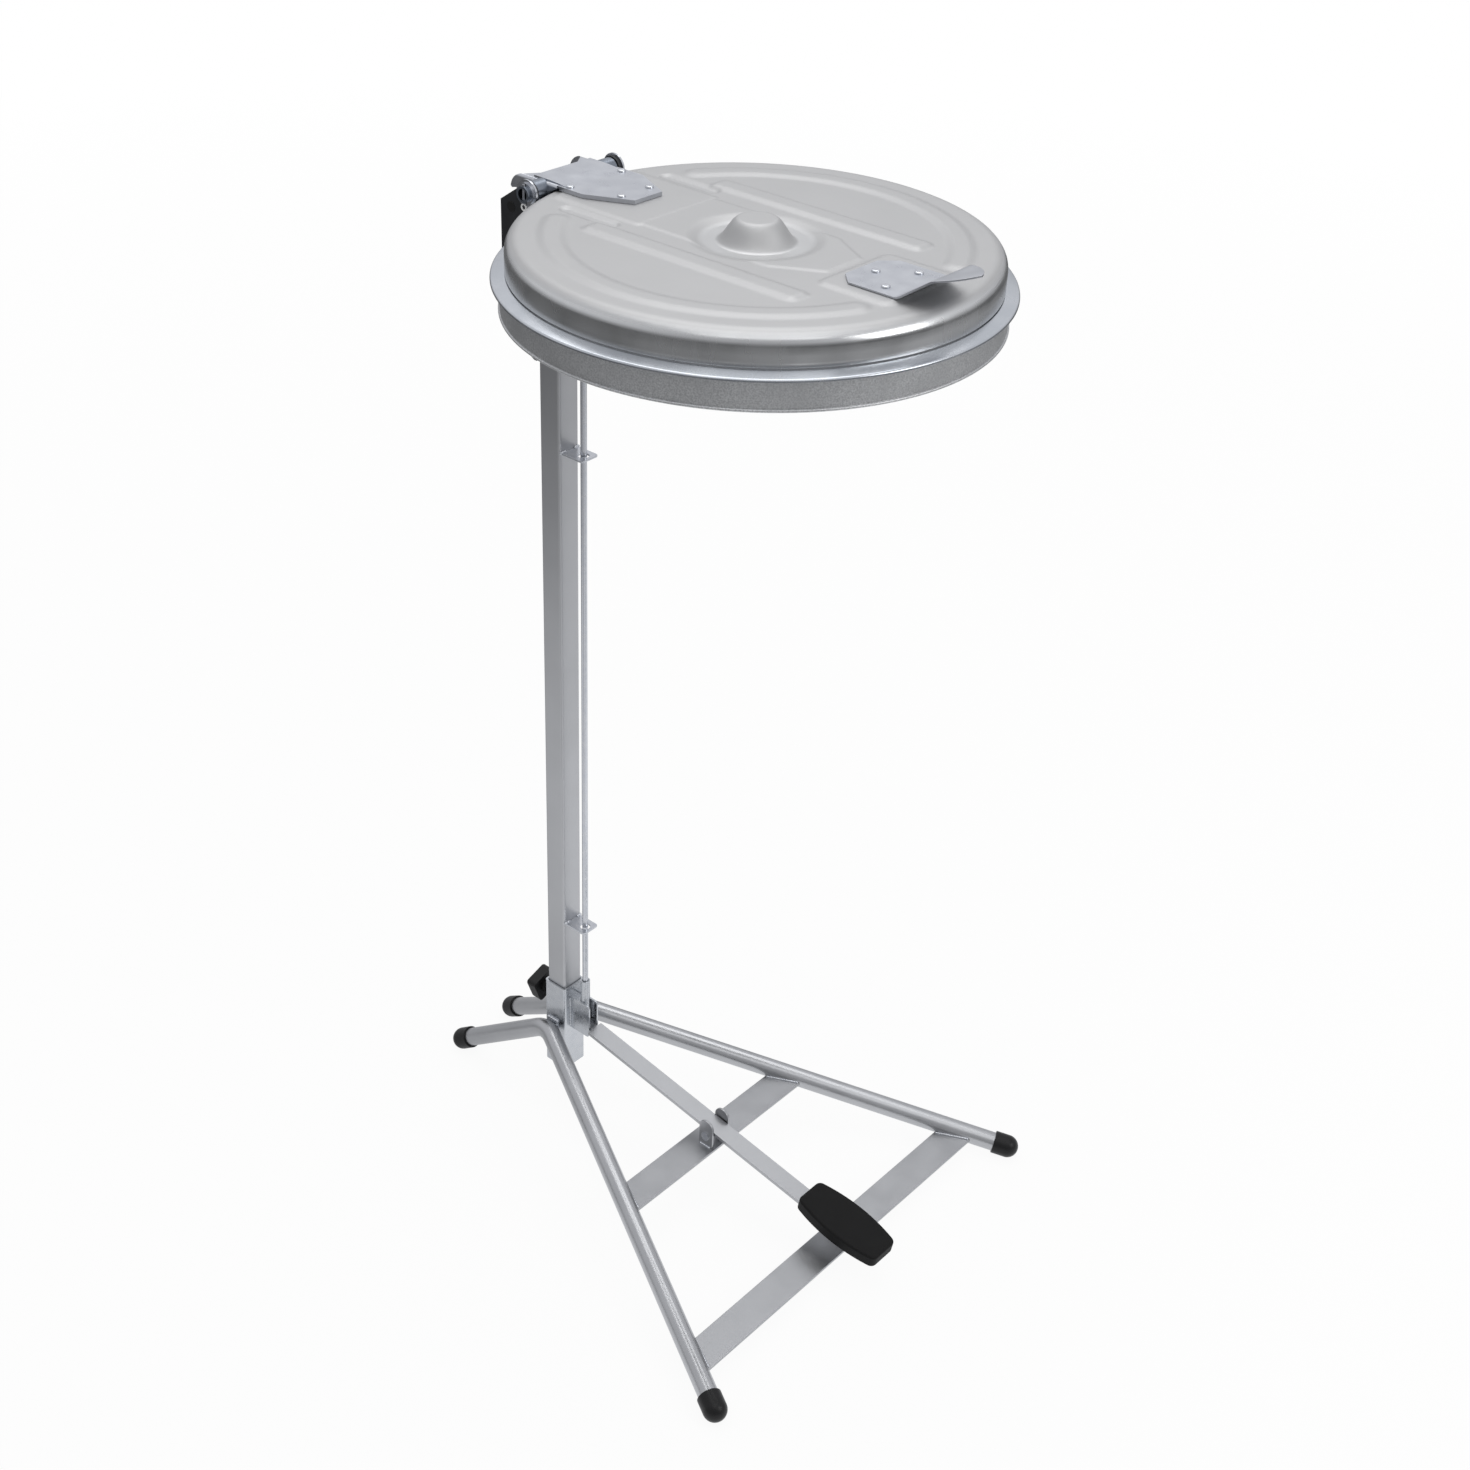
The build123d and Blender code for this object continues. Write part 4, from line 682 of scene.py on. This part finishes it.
dress(("clamp_knob", "post_cap"), knob_plastic)

# Pedal pad: a thick block of black rubber screwed on the end of the lever, moulded with a matt
# stone grain and a rounded rim. A little dust makes it uneven.
PAD_GRAIN_MM = 1.1
PAD_DUST_MM = 22.0
pad_rubber, tree = new_material("moulded_matt_rubber")
place = add_node(tree, "ShaderNodeTexCoord", {})
grain = add_node(tree, "ShaderNodeTexNoise", {
    "Vector": place.outputs["Object"], "Scale": 1 / (PAD_GRAIN_MM * MM), "Detail": 4.0,
})
dust = add_node(tree, "ShaderNodeTexNoise", {
    "Vector": place.outputs["Object"], "Scale": 1 / (PAD_DUST_MM * MM), "Detail": 3.0,
})
tone = add_node(tree, "ShaderNodeMix", {
    "Factor": dust.outputs["Fac"], 6: colour("#0d0d0d"), 7: colour("#161616"),
}, data_type="RGBA")
bump = add_node(tree, "ShaderNodeBump", {
    "Height": grain.outputs["Fac"], "Strength": 0.5, "Distance": 0.08 * MM,
})
skin = add_node(tree, "ShaderNodeBsdfPrincipled", {
    "Base Color": tone.outputs[2], "Roughness": 0.62, "Normal": bump.outputs[0], "IOR": 1.5,
    "Specular IOR Level": 0.18,
})
add_node(tree, "ShaderNodeOutputMaterial", {"Surface": skin.outputs[0]})
dress(("pedal_pad",), pad_rubber)

# Ring band: rolled steel strip with a bead at both edges, left with a coarse sparkling zinc
# grain under the flange.
BAND_CLOUD_MM = 35.0
BAND_GRAIN_MM = 1.3
band_zinc, tree = new_material("grainy_hot_dip_zinc")
place = add_node(tree, "ShaderNodeTexCoord", {})
clouds = add_node(tree, "ShaderNodeTexNoise", {
    "Vector": place.outputs["Object"], "Scale": 1 / (BAND_CLOUD_MM * MM), "Detail": 3.0,
})
grain = add_node(tree, "ShaderNodeTexNoise", {
    "Vector": place.outputs["Object"], "Scale": 1 / (BAND_GRAIN_MM * MM), "Detail": 3.0,
})
speck = add_node(tree, "ShaderNodeMapRange", {
    "Value": grain.outputs["Fac"], "From Min": 0.35, "From Max": 0.65,
})
blend = add_node(tree, "ShaderNodeMath", {
    0: speck.outputs[0], 1: clouds.outputs["Fac"],
}, operation="MULTIPLY")
tone = add_node(tree, "ShaderNodeMix", {
    "Factor": blend.outputs[0], 6: colour("#bcbdbe"), 7: colour("#ebecec"),
}, data_type="RGBA")
bump = add_node(tree, "ShaderNodeBump", {
    "Height": grain.outputs["Fac"], "Strength": 0.7, "Distance": 0.25 * MM,
})
skin = add_node(tree, "ShaderNodeBsdfPrincipled", {
    "Base Color": tone.outputs[2], "Metallic": 1.0, "Roughness": 0.46, "Normal": bump.outputs[0],
})
add_node(tree, "ShaderNodeOutputMaterial", {"Surface": skin.outputs[0]})
dress(("ring_band",), band_zinc)

# Ring flange: smooth pressed sheet with a sloping edge and a turned lip, zinc plated bright
# with a bluish tint. It ends in a straight cut before the head bracket, slotted for its ears.
FLANGE_CLOUD_MM = 40.0
flange_zinc, tree = new_material("smooth_bluish_zinc")
place = add_node(tree, "ShaderNodeTexCoord", {})
clouds = add_node(tree, "ShaderNodeTexNoise", {
    "Vector": place.outputs["Object"], "Scale": 1 / (FLANGE_CLOUD_MM * MM), "Detail": 3.0,
})
tone = add_node(tree, "ShaderNodeMix", {
    "Factor": clouds.outputs["Fac"], 6: colour("#b8bdc4"), 7: colour("#d4d7db"),
}, data_type="RGBA")
gloss = add_node(tree, "ShaderNodeMapRange", {
    "Value": clouds.outputs["Fac"], "From Min": 0.3, "From Max": 0.7,
    "To Min": 0.20, "To Max": 0.28,
})
skin = add_node(tree, "ShaderNodeBsdfPrincipled", {
    "Base Color": tone.outputs[2], "Metallic": 1.0, "Roughness": gloss.outputs[0],
})
add_node(tree, "ShaderNodeOutputMaterial", {"Surface": skin.outputs[0]})

RING_CENTRE = -223.6
FLANGE_TOP = 994.6
FLANGE_RADIUS = 212.15
FLANGE_FLAT_RADIUS = 201.0
FLANGE_EDGE_DROP = 3.0
FLANGE_LIP = 2.2
FLANGE_SHEET = 1.5
FLANGE_STEPS = 240
FLANGE_ROD_HOLE = 4.25
NECK_RADIUS = 186.0
NECK_BOTTOM = 965.0
NECK_BEND = 3.0
LIP_BEND = 2.0
BEND_STEPS = 8
HEAD_CUT_REAR = 5.0
HEAD_CUT_HALF_WIDTH = 51.5
HEAD_EAR_X = 50.0
HEAD_SLOT_HALF_WIDTH = 1.9
HEAD_SLOT_FRONT = -27.8
FLANGE_CUT_BOTTOM = 960.0
FLANGE_CUT_TOP = 1000.0


def round_corner(before, corner, after, radius):
    """Points of the arc that rounds a corner of a profile."""
    before, corner, after = Vector(before), Vector(corner), Vector(after)
    one, two = (before - corner).normalized(), (after - corner).normalized()
    half = one.angle(two) / 2
    centre = corner + (one + two).normalized() * radius / math.sin(half)
    start = corner + one * radius / math.tan(half) - centre
    end = corner + two * radius / math.tan(half) - centre
    sweep = start.angle_signed(end)
    return [
        tuple(centre + Matrix.Rotation(-sweep * step / BEND_STEPS, 2) @ start)
        for step in range(BEND_STEPS + 1)
    ]


def spin_profile(name, profile, steps):
    """Turns a line of (radius, level) points in mm round the axis of the ring into a skin."""
    deselect_all()
    made = bpy.data.objects.new(name, bpy.data.meshes.new(name))
    bpy.context.collection.objects.link(made)
    made.data.from_pydata(
        [(radius * MM, RING_CENTRE * MM, level * MM) for radius, level in profile],
        [(i, i + 1) for i in range(len(profile) - 1)], [],
    )
    bpy.context.view_layer.objects.active = made
    made.select_set(True)
    bpy.ops.object.mode_set(mode="EDIT")
    bpy.ops.mesh.select_all(action="SELECT")
    bpy.ops.mesh.spin(
        steps=steps, angle=2 * math.pi, center=(0, RING_CENTRE * MM, 0), axis=(0, 0, 1),
    )
    bpy.ops.mesh.select_all(action="SELECT")
    bpy.ops.mesh.remove_doubles(threshold=SAME_POINT_MM * MM)
    bpy.ops.mesh.normals_make_consistent(inside=False)
    bpy.ops.object.mode_set(mode="OBJECT")
    return made


flange_line = [
    (NECK_RADIUS, NECK_BOTTOM), (NECK_RADIUS, FLANGE_TOP), (FLANGE_FLAT_RADIUS, FLANGE_TOP),
    (FLANGE_RADIUS, FLANGE_TOP - FLANGE_EDGE_DROP),
    (FLANGE_RADIUS, FLANGE_TOP - FLANGE_EDGE_DROP - FLANGE_LIP),
]
flange_profile = [flange_line[0]]
for corner, bend in zip((1, 2, 3), (NECK_BEND, NECK_BEND, LIP_BEND)):
    flange_profile += round_corner(*flange_line[corner - 1:corner + 2], bend)
flange_profile.append(flange_line[-1])
flange = spin_profile("flange_skin", flange_profile, FLANGE_STEPS)
flange.data.materials.append(flange_zinc)
if max(flange.data.polygons, key=lambda face: abs(face.normal.z)).normal.z < 0:
    flange.data.flip_normals()
sheet = flange.modifiers.new("sheet", "SOLIDIFY")
sheet.thickness = FLANGE_SHEET * MM
sheet.offset = -1
sheet.use_even_offset = True
bpy.ops.object.modifier_apply(modifier=sheet.name)
for low_x, high_x, front in (
    (-HEAD_CUT_HALF_WIDTH, HEAD_CUT_HALF_WIDTH, HINGE_Y),
    (-HEAD_EAR_X - HEAD_SLOT_HALF_WIDTH, -HEAD_EAR_X + HEAD_SLOT_HALF_WIDTH, HEAD_SLOT_FRONT),
    (HEAD_EAR_X - HEAD_SLOT_HALF_WIDTH, HEAD_EAR_X + HEAD_SLOT_HALF_WIDTH, HEAD_SLOT_FRONT),
):
    cut(flange, add_block(
        (low_x, front, FLANGE_CUT_BOTTOM), (high_x, HEAD_CUT_REAR, FLANGE_CUT_TOP),
    ))
drill(flange, ROD_Y, FLANGE_TOP, FLANGE_ROD_HOLE)
bpy.ops.object.shade_smooth_by_angle(angle=math.radians(40))
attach(flange, "stand")
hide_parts("ring_flange")

# Head bracket: one folded piece of steel, bolted to the back of the post, with an ear at each
# end of the hinge tube. Its burnished finish is dark grey and almost black in its hollows.
HEAD_CLOUD_MM = 18.0
head_steel, tree = new_material("burnished_dark_steel")
place = add_node(tree, "ShaderNodeTexCoord", {})
clouds = add_node(tree, "ShaderNodeTexNoise", {
    "Vector": place.outputs["Object"], "Scale": 1 / (HEAD_CLOUD_MM * MM), "Detail": 4.0,
})
tone = add_node(tree, "ShaderNodeMix", {
    "Factor": clouds.outputs["Fac"], 6: colour("#3a3b3d"), 7: colour("#565759"),
}, data_type="RGBA")
skin = add_node(tree, "ShaderNodeBsdfPrincipled", {
    "Base Color": tone.outputs[2], "Metallic": 1.0, "Roughness": 0.50,
})
add_node(tree, "ShaderNodeOutputMaterial", {"Surface": skin.outputs[0]})
dress(("head_bracket",), head_steel, 0.4)

# Hole plugs: round black plastic caps, pressed into the spare holes of the head bracket's two
# ears. They have the low gloss of the knob and a rounded rim.
PLUG_RADIUS = 4.7
PLUG_DEPTH = 3.4
PLUG_X = 50.2
PLUG_Y = 3.0
PLUG_Z = 1004.0
for side in (-1, 1):
    deselect_all()
    bpy.ops.mesh.primitive_cylinder_add(
        vertices=36, radius=PLUG_RADIUS * MM, depth=PLUG_DEPTH * MM,
        location=(side * PLUG_X * MM, PLUG_Y * MM, PLUG_Z * MM), rotation=(0, math.pi / 2, 0),
    )
    plug = bpy.context.object
    plug.name = f"hole_plug_{'left' if side < 0 else 'right'}"
    bpy.ops.object.transform_apply(location=True, rotation=True, scale=True)
    plug.data.materials.append(knob_plastic)
    round_edges(plug, 0.4)
    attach(plug, "stand")

# Hinge plate, its backing, and the handle: cut and folded sheet, zinc plated with a pale
# lavender blue tint. The cut edges are bright.
HINGE_CLOUD_MM = 16.0
sheet_zinc, tree = new_material("pale_blue_zinc_sheet")
place = add_node(tree, "ShaderNodeTexCoord", {})
clouds = add_node(tree, "ShaderNodeTexNoise", {
    "Vector": place.outputs["Object"], "Scale": 1 / (HINGE_CLOUD_MM * MM), "Detail": 4.0,
})
tone = add_node(tree, "ShaderNodeMix", {
    "Factor": clouds.outputs["Fac"], 6: colour("#bbbec5"), 7: colour("#d0d2d6"),
}, data_type="RGBA")
gloss = add_node(tree, "ShaderNodeMapRange", {
    "Value": clouds.outputs["Fac"], "From Min": 0.3, "From Max": 0.7,
    "To Min": 0.26, "To Max": 0.36,
})
skin = add_node(tree, "ShaderNodeBsdfPrincipled", {
    "Base Color": tone.outputs[2], "Metallic": 1.0, "Roughness": gloss.outputs[0],
})
add_node(tree, "ShaderNodeOutputMaterial", {"Surface": skin.outputs[0]})
dress(("hinge_plate", "hinge_backing", "handle_plate"), sheet_zinc, 0.25)

# Hinge saddle: the part of the hinge plate that runs back over the hinge tube. The sheet swells
# a little to clear the tube and ends in a straight cut edge behind it.
SADDLE_HALF_WIDTH = 33.6
SADDLE_FRONT = 36.0
SADDLE_REAR = 10.6
SADDLE_LEVEL = 1028.0
SADDLE_SWELL = 1.7
SADDLE_SWELL_END = 4.0
SADDLE_UNDER_PLATE = 0.06
SADDLE_SHEET = 1.75
deselect_all()
bpy.ops.mesh.primitive_grid_add(
    x_subdivisions=4, y_subdivisions=40, size=1,
    location=(0, (HINGE_Y + (SADDLE_REAR - SADDLE_FRONT) / 2) * MM, SADDLE_LEVEL * MM),
)
saddle = bpy.context.object
saddle.name = "hinge_saddle"
saddle.scale = (2 * SADDLE_HALF_WIDTH * MM, (SADDLE_FRONT + SADDLE_REAR) * MM, 1)
bpy.ops.object.transform_apply(location=True, rotation=True, scale=True)
for vertex in saddle.data.vertices:
    before_axis = HINGE_Y - vertex.co.y / MM
    rise = min(max((SADDLE_FRONT - before_axis) / (SADDLE_FRONT - SADDLE_SWELL_END), 0), 1)
    vertex.co.z += (SADDLE_SWELL * rise * rise * (3 - 2 * rise) - SADDLE_UNDER_PLATE) * MM
sheet = saddle.modifiers.new("sheet", "SOLIDIFY")
sheet.thickness = SADDLE_SHEET * MM
sheet.offset = -1
bpy.ops.object.modifier_apply(modifier=sheet.name)
bpy.ops.object.shade_smooth_by_angle(angle=math.radians(35))
saddle.data.materials.append(sheet_zinc)
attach(saddle, "lid")

# Hinge tube and bushes: a drawn steel tube held by the head bracket, and two collars on it that
# turn with the lid. They lie in the shade, and their colour is painted dull, dark and a little
# blue: painted shade.
HINGE_TUBE_CLOUD_MM = 7.0
shade_darkened_hinge_steel, tree = new_material("shade_darkened_blue_grey_steel")
place = add_node(tree, "ShaderNodeTexCoord", {})
clouds = add_node(tree, "ShaderNodeTexNoise", {
    "Vector": place.outputs["Object"], "Scale": 1 / (HINGE_TUBE_CLOUD_MM * MM), "Detail": 3.0,
})
# Painted shade: both tones are much darker than the other zinc of the holder.
tone = add_node(tree, "ShaderNodeMix", {
    "Factor": clouds.outputs["Fac"], 6: colour("#6d747e"), 7: colour("#9aa0a9"),
}, data_type="RGBA")
skin = add_node(tree, "ShaderNodeBsdfPrincipled", {
    "Base Color": tone.outputs[2], "Metallic": 1.0, "Roughness": 0.32,
})
add_node(tree, "ShaderNodeOutputMaterial", {"Surface": skin.outputs[0]})
dress(("hinge_tube", "hinge_bush_left", "hinge_bush_right"), shade_darkened_hinge_steel)

# Lid: one round pressing of thin sheet steel. The top is satin grey with soft raised and sunk
# forms, the shoulder turns down to a glossy skirt, and the sheet ends in a hem. The skirt is
# painted a lighter grey than the top, which is painted light.
LID_RADIUS = 200.5
LID_TOP = 1023.0
LID_SHEET = 1.2
LID_SHOULDER = 12.0
LID_STEPS = 400
SKIRT_LEVELS = (1005.0, 1000.0, 996.2)
HEM_RADIUS = LID_SHEET / 2
PLATFORM_RISE = 1.3
FIELD_RISE = 1.0
FRONT_PAD_RISE = 1.7
STRAIGHT_RIB_RISE = 2.3
CURVED_RIB_RISE = 2.0
CURVED_RIB_RADIUS = 163.0
CURVED_RIB_HALF_WIDTH = 9.0
CURVED_RIB_ENDS = (-67.0, 58.5)
SLOT_DEPTH = 1.8
DISH_RADIUS = 50.0
DISH_DEPTH = 3.0
BOSS_RADIUS = 24.5
BOSS_RISE = 19.0
NOTCH_HALF_WIDTH = 9.5
NOTCH_DEPTH = 30.0
NOTCH_TOP = 1017.2

# Half a section as (radius, level), down the outside, round the hem and back up the inside. Its
# points stand closest where the boss and the dish bend.
flat_end = LID_RADIUS - LID_SHOULDER
shoulder = [
    (flat_end + LID_SHOULDER * math.sin(a), LID_TOP - LID_SHOULDER + LID_SHOULDER * math.cos(a))
    for a in np.linspace(0, math.pi / 2, 10)
]
outer = [(r, LID_TOP) for r in np.concatenate([
    np.arange(0, 21, 1.5), np.arange(21, 40, 0.75), np.arange(40, flat_end - 0.7, 1.45),
])]
outer += shoulder + [(LID_RADIUS, z) for z in SKIRT_LEVELS]
hem = [
    (LID_RADIUS - HEM_RADIUS + HEM_RADIUS * math.cos(a),
     SKIRT_LEVELS[-1] - HEM_RADIUS * math.sin(a))
    for a in np.linspace(0, math.pi, 7)[1:-1]
]
inner = [(LID_RADIUS - LID_SHEET, z) for z in reversed(SKIRT_LEVELS)]
inner += [
    (r - LID_SHEET * math.sin(a), z - LID_SHEET * math.cos(a))
    for (r, z), a in zip(shoulder[::-2], np.linspace(math.pi / 2, 0, 10)[::2])
]
inner += [(r, LID_TOP - LID_SHEET) for r in np.concatenate([
    np.arange(flat_end - 2, 42, -4.4), np.arange(40, 22, -2.0), np.arange(20, 1, -5.0), [0.0],
])]
lid_skin = spin_profile("lid_skin", outer + hem + inner, LID_STEPS)


def ease(distance, width):
    """0 outside and 1 inside an outline, turning smoothly over the given width."""
    t = np.clip(0.5 - distance / width, 0, 1)
    return t * t * (3 - 2 * t)


def rounded_box(x, s, half_x, half_s, corner):
    """Distance to a rounded rectangle round the origin, negative inside."""
    dx = np.abs(x) - half_x + corner
    ds = np.abs(s) - half_s + corner
    outside = np.hypot(np.maximum(dx, 0), np.maximum(ds, 0))
    return outside + np.minimum(np.maximum(dx, ds), 0) - corner


wall = lid_skin.data
points = np.empty(len(wall.vertices) * 3)
wall.vertices.foreach_get("co", points)
points = points.reshape(-1, 3) / MM
x = points[:, 0]
s = RING_CENTRE - points[:, 1]
r = np.hypot(x, s)
side_x = np.abs(x)

# The forms, in mm from the lid's centre: x runs to the side and s towards the handle.
platform = PLATFORM_RISE * ease(
    rounded_box(x, s + 134.5, half_x=49, half_s=51.5, corner=3), width=5.0)
slant = ((side_x - 45) * 41 + (s - 48) * 24) / 47.5  # the field's corners on the handle side
field = FIELD_RISE * ease(
    np.maximum.reduce([side_x - 45, s - 89, slant, -s - 90]), width=4.5)
front_pad = FRONT_PAD_RISE * ease(
    rounded_box(x, s - 131, half_x=45, half_s=34, corner=8), width=6.5)
straight_rib = STRAIGHT_RIB_RISE * ease(
    rounded_box(side_x - 78, s, half_x=10, half_s=109, corner=5), width=8.0)
turned = np.degrees(np.arctan2(-s, side_x))
held = np.radians(np.clip(turned, *CURVED_RIB_ENDS))
to_arc = np.hypot(
    side_x - CURVED_RIB_RADIUS * np.cos(held), s + CURVED_RIB_RADIUS * np.sin(held))
curved_rib = CURVED_RIB_RISE * ease(to_arc - CURVED_RIB_HALF_WIDTH, width=9.5)
slot = SLOT_DEPTH * ease(
    rounded_box(side_x - 61, s + 126, half_x=5.5, half_s=31, corner=5.4), width=3.5)
height = np.maximum.reduce([platform, field, front_pad, straight_rib, curved_rib]) - slot
in_dish = ease(r - DISH_RADIUS, width=16.0)
height = height * (1 - in_dish) - DISH_DEPTH * in_dish
height += BOSS_RISE * ease(r - BOSS_RADIUS, width=19.0)
height *= ease(r - flat_end + 3, width=6)
on_flat = (points[:, 2] > LID_TOP - LID_SHEET - 0.1) & (r < flat_end + 0.1)
points[:, 2] += np.where(on_flat, height, 0)
wall.vertices.foreach_set("co", (points * MM).ravel())
wall.update()

lid_rear = RING_CENTRE + LID_RADIUS
cut(lid_skin, add_block(
    (-NOTCH_HALF_WIDTH, lid_rear - 10, NOTCH_TOP - NOTCH_DEPTH),
    (NOTCH_HALF_WIDTH, lid_rear + 10, NOTCH_TOP),
))
bpy.ops.object.shade_smooth_by_angle(angle=math.radians(50))

LID_CLOUD_MM = 60.0
LID_GRAIN_MM = 0.9
DRAW_STREAK_MM = 26.0
SKIRT_TURN = (1.0215, 1.0175)
lid_sheet, tree = new_material("satin_pressed_sheet_steel")
place = add_node(tree, "ShaderNodeTexCoord", {})
level = add_node(tree, "ShaderNodeSeparateXYZ", {"Vector": place.outputs["Object"]})
on_skirt = add_node(tree, "ShaderNodeMapRange", {
    "Value": level.outputs["Z"], "From Min": SKIRT_TURN[0], "From Max": SKIRT_TURN[1],
})
clouds = add_node(tree, "ShaderNodeTexNoise", {
    "Vector": place.outputs["Object"], "Scale": 1 / (LID_CLOUD_MM * MM), "Detail": 3.0,
})
grain = add_node(tree, "ShaderNodeTexNoise", {
    "Vector": place.outputs["Object"], "Scale": 1 / (LID_GRAIN_MM * MM), "Detail": 2.0,
})
tone = add_node(tree, "ShaderNodeMix", {
    "Factor": clouds.outputs["Fac"], 6: colour("#b5b5b5"), 7: colour("#bababa"),
}, data_type="RGBA")
# Painted light: the skirt of the same sheet gets a lighter grey than the top.
painted_light_skirt_tone = add_node(tree, "ShaderNodeMix", {
    "Factor": clouds.outputs["Fac"], 6: colour("#c9cacb"), 7: colour("#dddede"),
}, data_type="RGBA")
tint = add_node(tree, "ShaderNodeMix", {
    "Factor": on_skirt.outputs[0], 6: tone.outputs[2], 7: painted_light_skirt_tone.outputs[2],
}, data_type="RGBA")
drawn = add_node(tree, "ShaderNodeMapping", {
    "Vector": place.outputs["Object"], "Scale": (1.0, 1.0, 0.35),
})
streaks = add_node(tree, "ShaderNodeTexNoise", {
    "Vector": drawn.outputs[0], "Scale": 1 / (DRAW_STREAK_MM * MM), "Detail": 3.0,
})
skirt_gloss = add_node(tree, "ShaderNodeMapRange", {
    "Value": streaks.outputs["Fac"], "From Min": 0.35, "From Max": 0.65,
    "To Min": 0.20, "To Max": 0.29,
})
gloss = add_node(tree, "ShaderNodeMix", {
    "Factor": on_skirt.outputs[0], "A": 0.58, "B": skirt_gloss.outputs[0],
}, data_type="FLOAT")
bump = add_node(tree, "ShaderNodeBump", {
    "Height": grain.outputs["Fac"], "Strength": 0.2, "Distance": 0.03 * MM,
})
skin = add_node(tree, "ShaderNodeBsdfPrincipled", {
    "Base Color": tint.outputs[2], "Metallic": 1.0, "Roughness": gloss.outputs[0],
    "Normal": bump.outputs[0],
})
add_node(tree, "ShaderNodeOutputMaterial", {"Surface": skin.outputs[0]})
wall.materials.append(lid_sheet)
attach(lid_skin, "lid")
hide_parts("lid")
